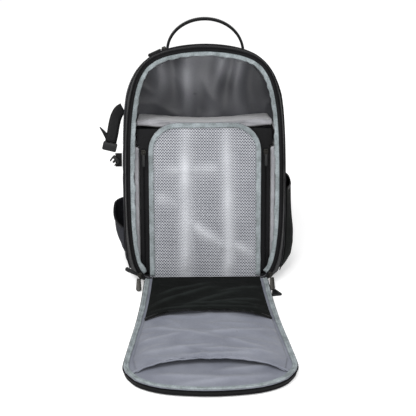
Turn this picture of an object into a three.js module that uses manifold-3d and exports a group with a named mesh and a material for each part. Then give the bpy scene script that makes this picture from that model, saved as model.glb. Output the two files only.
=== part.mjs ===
// A camera backpack that stands open. The padded body leans back a little on its flat base. The
// zipped front door is folded down and lies on the floor, its inner side up. Inside are a sagging
// shelf, two padded walls and a mesh flap that closes the lower compartment.
//
// Sizes are in millimetres, +Z is up and the door lies towards -Y. The origin is the middle of the
// base, on the floor. Pieces of the body are made in its leaning frame: x to the right, y the depth
// behind the front rim, z the height along the front above the door's hinge.
import * as THREE from "three";
import Module from "manifold-3d";

const wasm = await Module();
wasm.setup();

// The body
const bagHeight = 435;
const bagHalfWidth = 150;
const bagDepth = 175;
const leanAngle = THREE.MathUtils.degToRad(7.7);
const hingeHeight = 16;
const wallThickness = 7;
const backThickness = 9.7;
const seamDepth = 22;
const liningThickness = 1.2;
const liningClearance = 0.6;
const gap = 0.3;

// Tapes and bindings round the two halves of the main zip
const tapeThickness = 1.2;
const tapeWidth = 7.5;
const coilSize = 3.3;
const bindingWidth = 8.5;
const bindingThickness = 3;

// The lower compartment
const flapHalfWidth = 100;
const flapTop = 283;
const flapCornerRadius = 50;
const flapThickness = 5;
const flapDepth = 5;
const flapBindingWidth = 8.5;
const flapBindingThickness = 2.5;
const insertHalfWidth = 117.2;
const insertThickness = 9.8;
const insertEdge = 2;
const insertTop = 240;
const insertFront = 8;
const insertBack = 132;
const frameTop = 272;
const frameShoulder = 4.5;
const frameLap = 20;

// The shelf under the upper compartment
const shelfHalfWidth = 120;
const shelfHeight = 286;
const shelfThickness = 11;
const shelfFront = 20;
const shelfTabThickness = 2.5;
const shelfTabDrop = 38;
const shelfBackDrop = 14;

// The door
const doorLength = 412;
const doorHalfWidth = 139;
const doorThickness = 13;
const doorEdgeInset = 2.2;
const doorShift = 1.5;
const doorBindingWidth = 13.5;
const doorBindingThickness = 2.4;
const pocketSheet = 1.5;
const liningPocketReach = 327;
const liningPocketDip = 29;
const liningPocketLift = 10;
const meshPocketReach = 165;
const meshPocketDip = 11;
const meshPocketLift = 13;

// Webbing and its fittings
const handleSpan = 137;
const handleShift = 4;
const handleRise = 58;
const handleWidth = 25;
const handleThickness = 3;
const handleDepth = 146;
const handleZipGap = 15.5;
const topSliderGap = 5.5;
const topGripStart = 5.8;
const topGripLength = 23.2;
const webbingWidth = 25;
const webbingThickness = 1.6;
const sideWebbingWidth = 21;
const sideStrapDepth = 68;
const sideStrapHeight = 299;
const lowerTabHeight = 204;
const socketLength = 15;
const buckleThickness = 9;
const buckleSlot = 3.6;

// The side pockets
const pocketWall = 2;
const leftPocket = { front: 34, back: 150, bottom: 40, rim: 115, bulge: 16.5, slack: 0.4 };
const rightPocket = { front: 30, back: 150, bottom: 2, rim: 163, bulge: 13.5, slack: 1.35 };

// The harness on the back
const strapHalfWidth = 31;
const strapThickness = 11;
const strapTop = 372;
const strapFoot = 172;
const strapTopAcross = 40;
const strapFootAcross = 80;
const strapLift = 14;
const lowerWebbingFoot = 42;
const lowerWebbingAcross = 112;
const lockThickness = 3;

// The outline of the body, from the middle of the base up to the top: half widths as shares of the
// section's half width, at the front rim and deeper in, where the bottom corners are fuller.
const outlineRows = [
  { height: 0.0, front: 0.56, deep: 0.82 },
  { height: 0.012, front: 0.72, deep: 0.9 },
  { height: 0.04, front: 0.845, deep: 0.958 },
  { height: 0.09, front: 0.92, deep: 0.99 },
  { height: 0.16, front: 0.965, deep: 1.0 },
  { height: 0.26, front: 0.992, deep: 1.0 },
  { height: 0.4, front: 1.0, deep: 1.0 },
  { height: 0.58, front: 0.993, deep: 0.99 },
  { height: 0.705, front: 0.97, deep: 0.97 },
  { height: 0.79, front: 0.937, deep: 0.94 },
  { height: 0.865, front: 0.877, deep: 0.86 },
  { height: 0.91, front: 0.81, deep: 0.775 },
  { height: 0.95, front: 0.7, deep: 0.65 },
  { height: 0.983, front: 0.46, deep: 0.42 },
];

// How the outline changes from the front rim to the outside of the back panel.
const depthRows = [
  { depth: 0.0, width: 0.94, top: 1.0, fullness: 0.0 },
  { depth: 0.04, width: 0.953, top: 1.0035, fullness: 0.25 },
  { depth: 0.126, width: 0.964, top: 1.0025, fullness: 0.75 },
  { depth: 0.35, width: 1.0, top: 0.9875, fullness: 1.0 },
  { depth: 0.69, width: 0.99, top: 0.965, fullness: 1.0 },
  { depth: 0.943, width: 0.96, top: 0.938, fullness: 1.0 },
  { depth: 1.0, width: 0.935, top: 0.925, fullness: 1.0 },
];
const outlinePoints = 56;

// The door's outline, from the hinge to the tip: half widths as shares of the widest.
const doorRows = [
  { distance: 0.0, width: 0.795 },
  { distance: 0.12, width: 0.81 },
  { distance: 0.25, width: 0.832 },
  { distance: 0.43, width: 0.878 },
  { distance: 0.6, width: 0.938 },
  { distance: 0.7, width: 0.972 },
  { distance: 0.78, width: 0.996 },
  { distance: 0.83, width: 0.995 },
  { distance: 0.87, width: 0.94 },
  { distance: 0.915, width: 0.86 },
  { distance: 0.953, width: 0.71 },
  { distance: 0.977, width: 0.545 },
  { distance: 0.994, width: 0.27 },
];
const doorPoints = 64;

const fabric = (color, roughness) => new THREE.MeshStandardMaterial({ color, roughness, metalness: 0 });
const materials = {
  shellBlack: fabric(0x1d1e20, 0.85),
  shellCharcoal: fabric(0x3c3d42, 0.8),
  lining: fabric(0x5d5f68, 0.6),
  liningPale: fabric(0x9b9da6, 0.65),
  binding: fabric(0xaab8b8, 0.75),
  padding: fabric(0xb4b3b6, 0.9),
  mesh: fabric(0xc9cad2, 0.8),
  meshBlack: fabric(0x1f2322, 0.8),
  webbing: fabric(0x17181a, 0.75),
  plastic: fabric(0x101113, 0.4),
  metal: new THREE.MeshStandardMaterial({ color: 0x77746a, roughness: 0.35, metalness: 1 }),
};

// Builds a closed geometry from points and faces, turned so that its faces point out.
function solidFrom(points, faces) {
  let volume = 0;
  for (const [a, b, c] of faces) {
    volume += points[a].dot(new THREE.Vector3().crossVectors(points[b], points[c]));
  }
  const turned = volume < 0 ? faces.map(([a, b, c]) => [a, c, b]) : faces;
  const geometry = new THREE.BufferGeometry().setFromPoints(points);
  geometry.setIndex(turned.flat());
  geometry.computeVertexNormals();
  return geometry;
}

// Triangles that close one flat section, which may have hollow corners.
function capFaces(section, first) {
  const centre = section.reduce((sum, p) => sum.add(p), new THREE.Vector3()).divideScalar(section.length);
  const normal = new THREE.Vector3();
  section.forEach((p, i) => {
    const q = section[(i + 1) % section.length];
    normal.add(new THREE.Vector3().crossVectors(p.clone().sub(centre), q.clone().sub(centre)));
  });
  normal.normalize();
  const along = section[1].clone().sub(section[0]).normalize();
  const across = new THREE.Vector3().crossVectors(normal, along);
  const flat = section.map((p) => new THREE.Vector2(p.dot(along), p.dot(across)));
  return THREE.ShapeUtils.triangulateShape(flat, []).map((face) => face.map((i) => first + i));
}

// Joins sections of equal count, one after the other. A ring also joins the last to the first.
function loft(sections, isRing = false) {
  const count = sections[0].length;
  const faces = [];
  const joins = isRing ? sections.length : sections.length - 1;
  for (let s = 0; s < joins; s++) {
    const a = s * count;
    const b = ((s + 1) % sections.length) * count;
    for (let i = 0; i < count; i++) {
      const j = (i + 1) % count;
      faces.push([a + i, b + i, b + j], [a + i, b + j, a + j]);
    }
  }
  if (!isRing) {
    faces.push(...capFaces(sections[0], 0).map(([a, b, c]) => [a, b, c]));
    faces.push(...capFaces(sections.at(-1), (sections.length - 1) * count).map(([a, b, c]) => [a, c, b]));
  }
  return solidFrom(sections.flat(), faces);
}

// A sheet over a grid of points, with its second side moved by the given vector.
function sheet(rows, columns, pointAt, back) {
  const grid = [];
  for (let r = 0; r <= rows; r++) {
    grid.push(Array.from({ length: columns + 1 }, (unused, c) => pointAt(r / rows, c / columns)));
  }
  const sections = grid.map((row) => [...row, ...row.map((p) => p.clone().add(back)).reverse()]);
  const count = 2 * (columns + 1);
  const faces = [];
  for (let r = 0; r < rows; r++) {
    for (let i = 0; i < count; i++) {
      const j = (i + 1) % count;
      const a = r * count;
      const b = a + count;
      faces.push([a + i, b + i, b + j], [a + i, b + j, a + j]);
    }
  }
  for (let c = 0; c < columns; c++) {
    const [a, b] = [c, c + 1];
    const [d, e] = [count - 1 - c, count - 2 - c];
    const last = rows * count;
    faces.push([a, b, e], [a, e, d]);
    faces.push([last + a, last + e, last + b], [last + a, last + d, last + e]);
  }
  return solidFrom(sections.flat(), faces);
}

// An extruded plate standing in the leaning frame, from its front depth backwards.
function uprightPlate(shape, frontDepth, thickness, curveSegments = 8) {
  const options = { depth: thickness, bevelEnabled: false, curveSegments };
  const geometry = new THREE.ExtrudeGeometry(shape, options);
  return geometry.rotateX(Math.PI / 2).translate(0, frontDepth + thickness, 0);
}

// A closed geometry as a solid that can be cut, and back.
function toSolid(geometry) {
  const merged = new Map();
  const vertProperties = [];
  const triVerts = [];
  const position = geometry.attributes.position;
  const indexOf = (i) => (geometry.index ? geometry.index.getX(i) : i);
  const corners = geometry.index ? geometry.index.count : position.count;
  for (let i = 0; i < corners; i++) {
    const p = new THREE.Vector3().fromBufferAttribute(position, indexOf(i));
    const key = p.toArray().map((v) => v.toFixed(3)).join();
    if (!merged.has(key)) {
      merged.set(key, merged.size);
      vertProperties.push(...p.toArray());
    }
    triVerts.push(merged.get(key));
  }
  return new wasm.Manifold(
    new wasm.Mesh({
      numProp: 3,
      vertProperties: new Float32Array(vertProperties),
      triVerts: new Uint32Array(triVerts),
    }),
  );
}

function fromSolid(solid) {
  const mesh = solid.getMesh();
  const geometry = new THREE.BufferGeometry();
  geometry.setAttribute("position", new THREE.BufferAttribute(new Float32Array(mesh.vertProperties), 3));
  geometry.setIndex(new THREE.BufferAttribute(new Uint32Array(mesh.triVerts), 1));
  geometry.computeVertexNormals();
  return geometry;
}

const piece = (name, geometry, material) => {
  const mesh = new THREE.Mesh(geometry, material);
  mesh.name = name;
  return mesh;
};

// The height, in the leaning frame, at which the floor lies under a depth.
const floorAt = (depth) => (depth * Math.sin(leanAngle) - hingeHeight) / Math.cos(leanAngle);

// The body's outline at one row of the depth table, as points in the leaning frame.
const rowOutlines = depthRows.map((section) => {
  const depth = section.depth * bagDepth;
  const low = floorAt(depth);
  const top = floorAt(0) + bagHeight * section.top;
  const right = outlineRows.map((row) => {
    const share = THREE.MathUtils.lerp(row.front, row.deep, section.fullness);
    return new THREE.Vector3(bagHalfWidth * section.width * share, low + (top - low) * row.height, 0);
  });
  const left = right.map((p) => new THREE.Vector3(-p.x, p.y, 0)).reverse();
  const curve = new THREE.CatmullRomCurve3(
    [new THREE.Vector3(0, low, 0), ...right, new THREE.Vector3(0, top, 0), ...left],
    true,
    "centripetal",
  );
  curve.arcLengthDivisions = 600;
  const points = curve.getSpacedPoints(outlinePoints).slice(0, outlinePoints);
  return points.map((p) => new THREE.Vector2(p.x, Math.max(p.y, low)));
});

// Moves a closed counter-clockwise outline of (x, height) points inwards.
function inset(points, distance) {
  return points.map((p, i) => {
    const before = points.at(i - 1);
    const after = points[(i + 1) % points.length];
    const tangent = after.clone().sub(before).normalize();
    return new THREE.Vector2(p.x - tangent.y * distance, p.y + tangent.x * distance);
  });
}

// The body's outline at any depth, moved inwards by a distance.
function outlineAt(depth, distance = 0, placedAt = depth) {
  const share = THREE.MathUtils.clamp(depth / bagDepth, 0, 1);
  const next = Math.max(
    1,
    depthRows.findIndex((row) => row.depth >= share - 1e-9),
  );
  const [near, far] = [rowOutlines[next - 1], rowOutlines[next]];
  const t = (share - depthRows[next - 1].depth) / (depthRows[next].depth - depthRows[next - 1].depth);
  const flat = near.map((p, i) => p.clone().lerp(far[i], t));
  return inset(flat, distance).map((p) => new THREE.Vector3(p.x, placedAt, p.y));
}

// The half width of the body, or of a surface set in from it, at a depth and a height.
function halfWidthAt(depth, height, distance = 0) {
  const points = outlineAt(depth, distance);
  const crossings = points.flatMap((p, i) => {
    const q = points[(i + 1) % points.length];
    if ((p.z - height) * (q.z - height) > 0 || p.z === q.z) {
      return [];
    }
    return [THREE.MathUtils.lerp(p.x, q.x, (height - p.z) / (q.z - p.z))];
  });
  return Math.max(...crossings);
}

// The heights at which an upright line crosses the body's outline, or a surface set in from it.
function heightsAt(depth, x, distance = 0) {
  const points = outlineAt(depth, distance);
  const crossings = points.flatMap((p, i) => {
    const q = points[(i + 1) % points.length];
    if ((p.x - x) * (q.x - x) > 0 || p.x === q.x) {
      return [];
    }
    return [THREE.MathUtils.lerp(p.z, q.z, (x - p.x) / (q.x - p.x))];
  });
  return { low: Math.min(...crossings), top: Math.max(...crossings) };
}

const rowDepths = depthRows.map((row) => row.depth * bagDepth);
const depthsBetween = (from, to) => [from, ...rowDepths.filter((d) => d > from + 1 && d < to - 1), to];

// A wall of the body between two depths.
function gusset(from, to) {
  const depths = depthsBetween(from, to);
  const outer = depths.map((d) => outlineAt(d));
  const inner = [...depths].reverse().map((d) => outlineAt(d, wallThickness));
  return loft([...outer, ...inner], true);
}

function backPanel() {
  const front = bagDepth - backThickness;
  const middle = bagDepth - backThickness * 0.45;
  return loft([outlineAt(front), outlineAt(middle, 2), outlineAt(bagDepth, 8)]);
}

// The cloth that lines the walls and the back, a cup open at the front.
function lining() {
  const front = bindingThickness + 2 * gap;
  const back = bagDepth - backThickness - 2 * gap;
  const outside = wallThickness + liningClearance;
  const depths = depthsBetween(front, back);
  const outer = [...depths].reverse().map((d) => outlineAt(d, outside));
  const insideDepths = depthsBetween(front, back - liningThickness);
  const inner = insideDepths.map((d) => outlineAt(d, outside + liningThickness));
  return loft([...outer, ...inner]);
}
const liningInset = wallThickness + liningClearance + liningThickness;

// A band round the front rim, from just above the hinge at one side to the same height at the
// other. Its section is a list of [inset, depth] corners.
const bandFoot = 1.5;
function rimBand(section) {
  const rim = outlineAt(0);
  const loops = section.map(([distance, depth]) => outlineAt(0, distance, depth));
  const first = rim.findIndex((p) => p.z > bandFoot);
  const last = rim.findLastIndex((p) => p.z > bandFoot);
  const cut = (below, above) => {
    const share = (bandFoot - rim[below].z) / (rim[above].z - rim[below].z);
    return loops.map((loop) => loop[below].clone().lerp(loop[above], share));
  };
  const whole = rim.slice(first, last + 1).map((unused, i) => loops.map((loop) => loop[first + i]));
  return loft([cut(first - 1, first), ...whole, cut(last + 1, last)]);
}

function bodyZip() {
  const front = -gap - tapeThickness;
  const tapeEdge = wallThickness + 1;
  const coilEdge = tapeEdge - tapeWidth;
  return rimBand([
    [tapeEdge, -gap],
    [tapeEdge, front],
    [coilEdge + coilSize, front],
    [coilEdge + coilSize, front - coilSize],
    [coilEdge - gap, front - coilSize],
    [coilEdge - gap, -gap],
  ]);
}

function bodyBinding() {
  const outer = wallThickness + gap;
  const inner = outer + bindingWidth;
  return rimBand([
    [outer, 0],
    [inner, 0],
    [inner, bindingThickness],
    [outer, bindingThickness],
  ]);
}

// A plain zip round the sides and top, on which the top slider runs.
const backZipDepth = handleDepth - handleWidth / 2 - handleZipGap;
const backZipWidth = 9;
function backZip() {
  const lift = gap + 0.9;
  const depths = [backZipDepth - backZipWidth / 2, backZipDepth + backZipWidth / 2];
  const [nearIn, farIn] = depths.map((d) => outlineAt(d, -gap));
  const [nearOut, farOut] = depths.map((d) => outlineAt(d, -lift));
  const lowest = bagHeight * 0.5;
  const along = nearIn.map((p, i) => ({ height: p.z, i })).filter(({ height }) => height > lowest);
  return loft(along.map(({ i }) => [nearIn[i], farIn[i], farOut[i], nearOut[i]]));
}

// The mesh flap: upright sides and round top corners, from one foot over the top to the other.
const flapBack = flapDepth + flapThickness;
const flapBottom = heightsAt(flapBack, 0, liningInset).low + 3 * gap;
const flapCornerHeight = heightsAt(flapDepth, flapHalfWidth, liningInset).low + 1;
function flapPath(setIn) {
  const steps = 7;
  const radius = flapCornerRadius - setIn;
  const half = flapHalfWidth - setIn;
  const top = flapTop - setIn;
  const corner = (side, from, to) =>
    Array.from({ length: steps + 1 }, (unused, i) => {
      const angle = THREE.MathUtils.lerp(from, to, i / steps);
      const centre = side * (half - radius);
      return new THREE.Vector2(centre + radius * Math.cos(angle), top - radius + radius * Math.sin(angle));
    });
  return [
    new THREE.Vector2(-half, flapCornerHeight),
    ...corner(-1, Math.PI, Math.PI / 2),
    ...corner(1, Math.PI / 2, 0),
    new THREE.Vector2(half, flapCornerHeight),
  ];
}

// The foot of the flap follows the floor of the body between its corners.
function meshFlap() {
  const footHalf = halfWidthAt(flapDepth, flapBottom, liningInset) - 1;
  const foot = [new THREE.Vector2(footHalf, flapBottom), new THREE.Vector2(-footHalf, flapBottom)];
  const shape = new THREE.Shape([...flapPath(0), ...foot].reverse());
  return uprightPlate(shape, flapDepth, flapThickness);
}

function flapBinding() {
  const back = flapDepth - gap;
  const front = back - flapBindingThickness;
  const [outer, inner] = [flapPath(0), flapPath(flapBindingWidth)];
  return loft(
    outer.map((p, i) => [
      new THREE.Vector3(p.x, front, p.y),
      new THREE.Vector3(inner[i].x, front, inner[i].y),
      new THREE.Vector3(inner[i].x, back, inner[i].y),
      new THREE.Vector3(p.x, back, p.y),
    ]),
  );
}

// The black frame behind the flap, which carries its zip: from under the flap's edge out to the
// padded walls, and above them out to the sides.
const frameDepth = flapBack + gap;
function flapFrame() {
  const inner = flapPath(frameLap);
  const footAt = (x) => heightsAt(frameDepth, x, liningInset).low + 1;
  const near = insertHalfWidth - gap;
  const far = insertHalfWidth + frameShoulder;
  const step = insertTop + gap;
  const foot = [inner[0].setY(footAt(-inner[0].x)), inner.at(-1).setY(footAt(inner.at(-1).x))];
  const outer = [
    [near, footAt(near)],
    [near, step],
    [far, step],
    [far - 1.5, frameTop],
  ].map(([x, height]) => new THREE.Vector2(x, height));
  const mirrored = outer.map((p) => new THREE.Vector2(-p.x, p.y)).reverse();
  const shape = new THREE.Shape([...outer, ...mirrored, foot[0], ...inner.slice(1, -1), foot[1]]);
  return uprightPlate(shape, frameDepth, tapeThickness);
}

// A padded wall of the lower compartment. Its foot thins to an edge in the body's round corner.
function insertWall(side) {
  const heights = [0, 0.03, 0.1, 0.2, 0.95, 1];
  const corner = (depth, height, isOuter) => {
    const room = halfWidthAt(depth, height, liningInset) - 2 * gap;
    const outer = Math.min(insertHalfWidth + insertThickness, room);
    return new THREE.Vector3(side * (isOuter ? outer : insertHalfWidth), depth, height);
  };
  const sections = heights.map((share) => {
    const rows = [insertFront, seamDepth, insertBack].map((depth) => {
      const foot = heightsAt(depth, insertHalfWidth + insertEdge, liningInset).low + 2 * gap;
      return { depth, height: THREE.MathUtils.lerp(foot, insertTop, share) };
    });
    return [
      ...rows.map(({ depth, height }) => corner(depth, height, true)),
      ...[...rows].reverse().map(({ depth, height }) => corner(depth, height, false)),
    ];
  });
  return loft(sections);
}

// The shelf hangs a little lower in the middle. Columns run from one side to the other.
const shelfSag = [
  { across: 0.0, sag: 0 },
  { across: 0.12, sag: 1.5 },
  { across: 0.3, sag: 6 },
  { across: 0.5, sag: 8 },
  { across: 0.7, sag: 6 },
  { across: 0.88, sag: 1.5 },
  { across: 1.0, sag: 0 },
];
const shelfBack = bagDepth - backThickness - 3 * gap - liningThickness;
function shelf() {
  const top = (row, column) => {
    const { across, sag } = shelfSag[Math.round(column * (shelfSag.length - 1))];
    const x = THREE.MathUtils.lerp(-shelfHalfWidth, shelfHalfWidth, across);
    const depth = THREE.MathUtils.lerp(shelfFront, shelfBack, row);
    return new THREE.Vector3(x, depth, shelfHeight - sag - shelfBackDrop * row);
  };
  return sheet(1, shelfSag.length - 1, top, new THREE.Vector3(0, 0, -shelfThickness));
}

// A tab that runs down and out from the shelf's end to the lining that it grips.
function shelfTab(side) {
  const sections = [shelfFront + 3, 60, shelfBack - 12].map((depth) => {
    const drop = (shelfBackDrop * (depth - shelfFront)) / (shelfBack - shelfFront);
    const high = shelfHeight - shelfTabThickness / 2 - drop;
    const low = high - shelfTabDrop;
    const reach = halfWidthAt(depth, low, liningInset) - gap - 0.4;
    const start = shelfHalfWidth + gap;
    return [
      new THREE.Vector3(side * start, depth, high),
      new THREE.Vector3(side * reach, depth, low),
      new THREE.Vector3(side * reach, depth, low - shelfTabThickness * 2),
      new THREE.Vector3(side * start, depth, high - shelfTabThickness * 2),
    ];
  });
  return loft(sections);
}

// A carrying loop of webbing, its ends on the top of the body.
function handle() {
  const steps = 22;
  const half = handleSpan / 2;
  const footAt = (x) => heightsAt(handleDepth - handleWidth / 2, x).top + gap + 0.1;
  const feet = [footAt(handleShift - half), footAt(handleShift + half)];
  const point = (i, outward) => {
    const angle = Math.PI * (1 - i / steps);
    const x = handleShift + (half + outward) * Math.cos(angle);
    const foot = THREE.MathUtils.lerp(feet[0], feet[1], i / steps);
    return new THREE.Vector2(x, foot + (handleRise + outward) * Math.sin(angle));
  };
  const sections = Array.from({ length: steps + 1 }, (unused, i) => {
    const [low, high] = [point(i, 0), point(i, handleThickness)];
    const [front, back] = [handleDepth - handleWidth / 2, handleDepth + handleWidth / 2];
    return [
      new THREE.Vector3(low.x, front, low.y),
      new THREE.Vector3(high.x, front, high.y),
      new THREE.Vector3(high.x, back, high.y),
      new THREE.Vector3(low.x, back, low.y),
    ];
  });
  return loft(sections);
}

// A side pocket: a wall that stands off the body's side and is open at its rim.
function sidePocket(side, size, bulgeShares, rimDrop) {
  const at = (row, column) => {
    const depth = THREE.MathUtils.lerp(size.front, size.back, column);
    const rim = size.rim - rimDrop * (1 - Math.min(1, column * 1.6));
    const bottom = Math.max(size.bottom, floorAt(depth) + 6);
    const height = THREE.MathUtils.lerp(bottom, rim, row ** 1.5);
    const place = row * (bulgeShares.length - 1);
    const k = Math.min(Math.floor(place), bulgeShares.length - 2);
    const share = THREE.MathUtils.lerp(bulgeShares[k], bulgeShares[k + 1], place - k);
    const bulge = size.bulge * share * Math.sin(Math.PI * column) ** 0.6;
    const x = halfWidthAt(depth, height) + gap + size.slack + bulge;
    return new THREE.Vector3(side * x, depth, height);
  };
  return sheet(7, 8, at, new THREE.Vector3(side * pocketWall, 0, 0));
}

// Webbing whose middle line is given as steps out and down from its sewn end, flat to the front.
function sideStrap() {
  const root = halfWidthAt(sideStrapDepth, sideStrapHeight - sideWebbingWidth / 2) + gap + 0.5;
  const line = new THREE.CatmullRomCurve3(
    [
      { out: 0, down: 0 },
      { out: 7.5, down: 3.5 },
      { out: 14, down: 17 },
      { out: 17.5, down: 32 },
      { out: 20, down: 47 },
      { out: 23.8, down: 62.5 },
    ].map(({ out, down }) => new THREE.Vector3(-root - out, 0, sideStrapHeight - down)),
  );
  const points = line.getSpacedPoints(12);
  const sections = points.map((p, i) => {
    const tangent = line.getTangentAt(i / 12);
    const across = i === 0 ? new THREE.Vector2(0, 1) : new THREE.Vector2(-tangent.z, tangent.x).negate();
    const half = sideWebbingWidth / 2;
    const [near, far] = [sideStrapDepth - webbingThickness / 2, sideStrapDepth + webbingThickness / 2];
    const corner = (sign, depth) =>
      new THREE.Vector3(p.x + sign * across.x * half, depth, p.z + sign * across.y * half);
    return [corner(-1, near), corner(1, near), corner(1, far), corner(-1, far)];
  });
  return { geometry: loft(sections), end: points.at(-1), tangent: line.getTangentAt(1) };
}

// A rectangle with its corners cut round.
function roundedRectangle(width, height, radius) {
  const [x, y] = [width / 2, height / 2];
  const shape = new THREE.Shape();
  shape.moveTo(-x + radius, -y);
  shape.lineTo(x - radius, -y);
  shape.absarc(x - radius, -y + radius, radius, -Math.PI / 2, 0);
  shape.lineTo(x, y - radius);
  shape.absarc(x - radius, y - radius, radius, 0, Math.PI / 2);
  shape.lineTo(-x + radius, y);
  shape.absarc(-x + radius, y - radius, radius, Math.PI / 2, Math.PI);
  shape.lineTo(-x, -y + radius);
  shape.absarc(-x + radius, -y + radius, radius, Math.PI, Math.PI * 1.5);
  return shape;
}

// The socket half of a side-release buckle, its mouth cut in from below.
function buckleSocket() {
  const [width, length] = [26, socketLength];
  const body = new THREE.ExtrudeGeometry(roundedRectangle(width, length, 3), {
    depth: buckleThickness,
    bevelEnabled: false,
    curveSegments: 3,
  }).translate(0, 0, -buckleThickness / 2);
  const mouth = new THREE.BoxGeometry(width - 7, length * 0.75, buckleSlot).translate(0, -length * 0.3, 0);
  const cut = toSolid(body).subtract(toSolid(mouth));
  return fromSolid(cut).rotateX(Math.PI / 2);
}

// The plug half of the buckle: a bar with a guide and two sprung arms.
function bucklePlug() {
  const [half, length] = [8.5, 15];
  const right = [
    [2, -6],
    [2, -length + 3],
    [0, -length + 3],
  ];
  const arm = [
    [half, 0],
    [half, -6],
    [half - 1, -length + 3],
    [half - 3, -length],
    [half - 4, -length + 3],
    [half - 3, -6],
    ...right,
  ].map(([x, y]) => new THREE.Vector2(x, y));
  const mirrored = arm.slice(0, -1).map((p) => new THREE.Vector2(-p.x, p.y));
  const shape = new THREE.Shape([...arm, ...mirrored.reverse()]);
  const thickness = 3.5;
  return new THREE.ExtrudeGeometry(shape, { depth: thickness, bevelEnabled: false })
    .translate(0, 0, -thickness / 2)
    .rotateX(Math.PI / 2);
}

// A zip slider: a wedge-nosed body with a bridge over it that holds the pull.
const sliderLength = 11;
const sliderHeight = 4.2;
function slider() {
  const body = new THREE.Shape([
    new THREE.Vector2(-3, -sliderLength / 2),
    new THREE.Vector2(3, -sliderLength / 2),
    new THREE.Vector2(4.6, 1),
    new THREE.Vector2(3.4, sliderLength / 2),
    new THREE.Vector2(-3.4, sliderLength / 2),
    new THREE.Vector2(-4.6, 1),
  ]);
  const bridge = new THREE.Shape([
    new THREE.Vector2(-4.4, 0),
    new THREE.Vector2(4.4, 0),
    new THREE.Vector2(3.2, 3.4),
    new THREE.Vector2(-3.2, 3.4),
  ]);
  const options = { bevelEnabled: false };
  const base = new THREE.ExtrudeGeometry(body, { ...options, depth: sliderHeight });
  const arch = new THREE.ExtrudeGeometry(bridge, { ...options, depth: 2.6 })
    .translate(0, 0, -1.3)
    .rotateY(Math.PI / 2)
    .rotateX(Math.PI / 2)
    .translate(0, 0, sliderHeight - 0.2);
  return fromSolid(toSolid(base).add(toSolid(arch)));
}

// A flat pull with a round end and a hole for the slider's bridge, hanging from its top.
function pull(length, width, thickness, endWidth = width) {
  const shape = new THREE.Shape();
  shape.moveTo(-width / 2, 0);
  shape.lineTo(-endWidth / 2, -length + endWidth / 2);
  shape.absarc(0, -length + endWidth / 2, endWidth / 2, Math.PI, Math.PI * 2);
  shape.lineTo(width / 2, 0);
  const options = { depth: thickness, bevelEnabled: false, curveSegments: 5 };
  return new THREE.ExtrudeGeometry(shape, options).translate(0, 0, -thickness / 2).rotateX(Math.PI / 2);
}

// A flat moulded grip that widens to its square end, hanging from its top.
function grip(length, width, endWidth, thickness) {
  const shape = new THREE.Shape([
    new THREE.Vector2(-width / 2, 0),
    new THREE.Vector2(-endWidth / 2, -length + 2),
    new THREE.Vector2(-endWidth / 2 + 2, -length),
    new THREE.Vector2(endWidth / 2 - 2, -length),
    new THREE.Vector2(endWidth / 2, -length + 2),
    new THREE.Vector2(width / 2, 0),
  ]);
  const options = { depth: thickness, bevelEnabled: false };
  return new THREE.ExtrudeGeometry(shape, options).translate(0, 0, -thickness / 2).rotateX(Math.PI / 2);
}

// Turns a slider so that its length runs along the zip and its bridge stands outward.
function placeSlider(name, position, along, outward) {
  const mesh = piece(name, slider(), materials.metal);
  const across = new THREE.Vector3().crossVectors(along, outward).normalize();
  const basis = new THREE.Matrix4().makeBasis(across, along, outward);
  mesh.quaternion.setFromRotationMatrix(basis);
  mesh.position.copy(position);
  return mesh;
}

// The door's outline on the floor, from the hinge round the tip and back, set in by a distance.
function doorOutline(distance = 0) {
  const right = doorRows.map(
    (row) => new THREE.Vector3(doorHalfWidth * row.width, -doorLength * row.distance, 0),
  );
  const left = right.map((p) => new THREE.Vector3(-p.x, p.y, 0)).reverse();
  const curve = new THREE.CatmullRomCurve3(
    [...right, new THREE.Vector3(0, -doorLength, 0), ...left],
    false,
    "centripetal",
  );
  curve.arcLengthDivisions = 600;
  const points = curve.getSpacedPoints(doorPoints).map((p) => new THREE.Vector2(p.x, p.y));
  return points.map((p, i) => {
    const before = points[Math.max(i - 1, 0)];
    const after = points[Math.min(i + 1, points.length - 1)];
    const tangent = after.clone().sub(before).normalize();
    const moved = new THREE.Vector2(p.x + tangent.y * distance, p.y - tangent.x * distance);
    return i === 0 || i === points.length - 1 ? moved.setY(p.y) : moved;
  });
}

// A level plate with the door's outline.
function doorPlate(distance, bottom, top) {
  const shape = new THREE.Shape(doorOutline(distance));
  return new THREE.ExtrudeGeometry(shape, { depth: top - bottom, bevelEnabled: false }).translate(0, 0, bottom);
}

// The padded panel, its lower edge rounded in.
function doorPanel() {
  const section = (distance, z) => doorOutline(distance).map((p) => new THREE.Vector3(p.x, p.y, z));
  const radius = 4;
  return loft([
    section(doorEdgeInset + radius, 0),
    section(doorEdgeInset, radius),
    section(doorEdgeInset, doorThickness - 2),
    section(doorEdgeInset + 1.5, doorThickness),
  ]);
}

// A band along the door's outline. Its section is a list of [inset, z] corners.
function doorBand(section) {
  const paths = section.map(([distance, z]) =>
    doorOutline(distance).map((p) => new THREE.Vector3(p.x, p.y, z)),
  );
  return loft(paths[0].map((unused, i) => paths.map((path) => path[i])));
}

function doorZip() {
  const inner = doorEdgeInset - gap;
  const outer = inner - tapeThickness;
  const low = doorThickness - tapeWidth;
  return doorBand([
    [inner, low],
    [outer, low],
    [outer, doorThickness - coilSize],
    [outer - coilSize * 0.6, doorThickness - coilSize],
    [outer - coilSize * 0.6, doorThickness],
    [inner, doorThickness],
  ]);
}

const doorLiningTop = doorThickness + gap + liningThickness;
function doorBinding() {
  const low = doorLiningTop + gap;
  const high = low + doorBindingThickness;
  return doorBand([
    [0, low],
    [doorBindingWidth, low],
    [doorBindingWidth, high],
    [0, high],
  ]);
}

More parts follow.
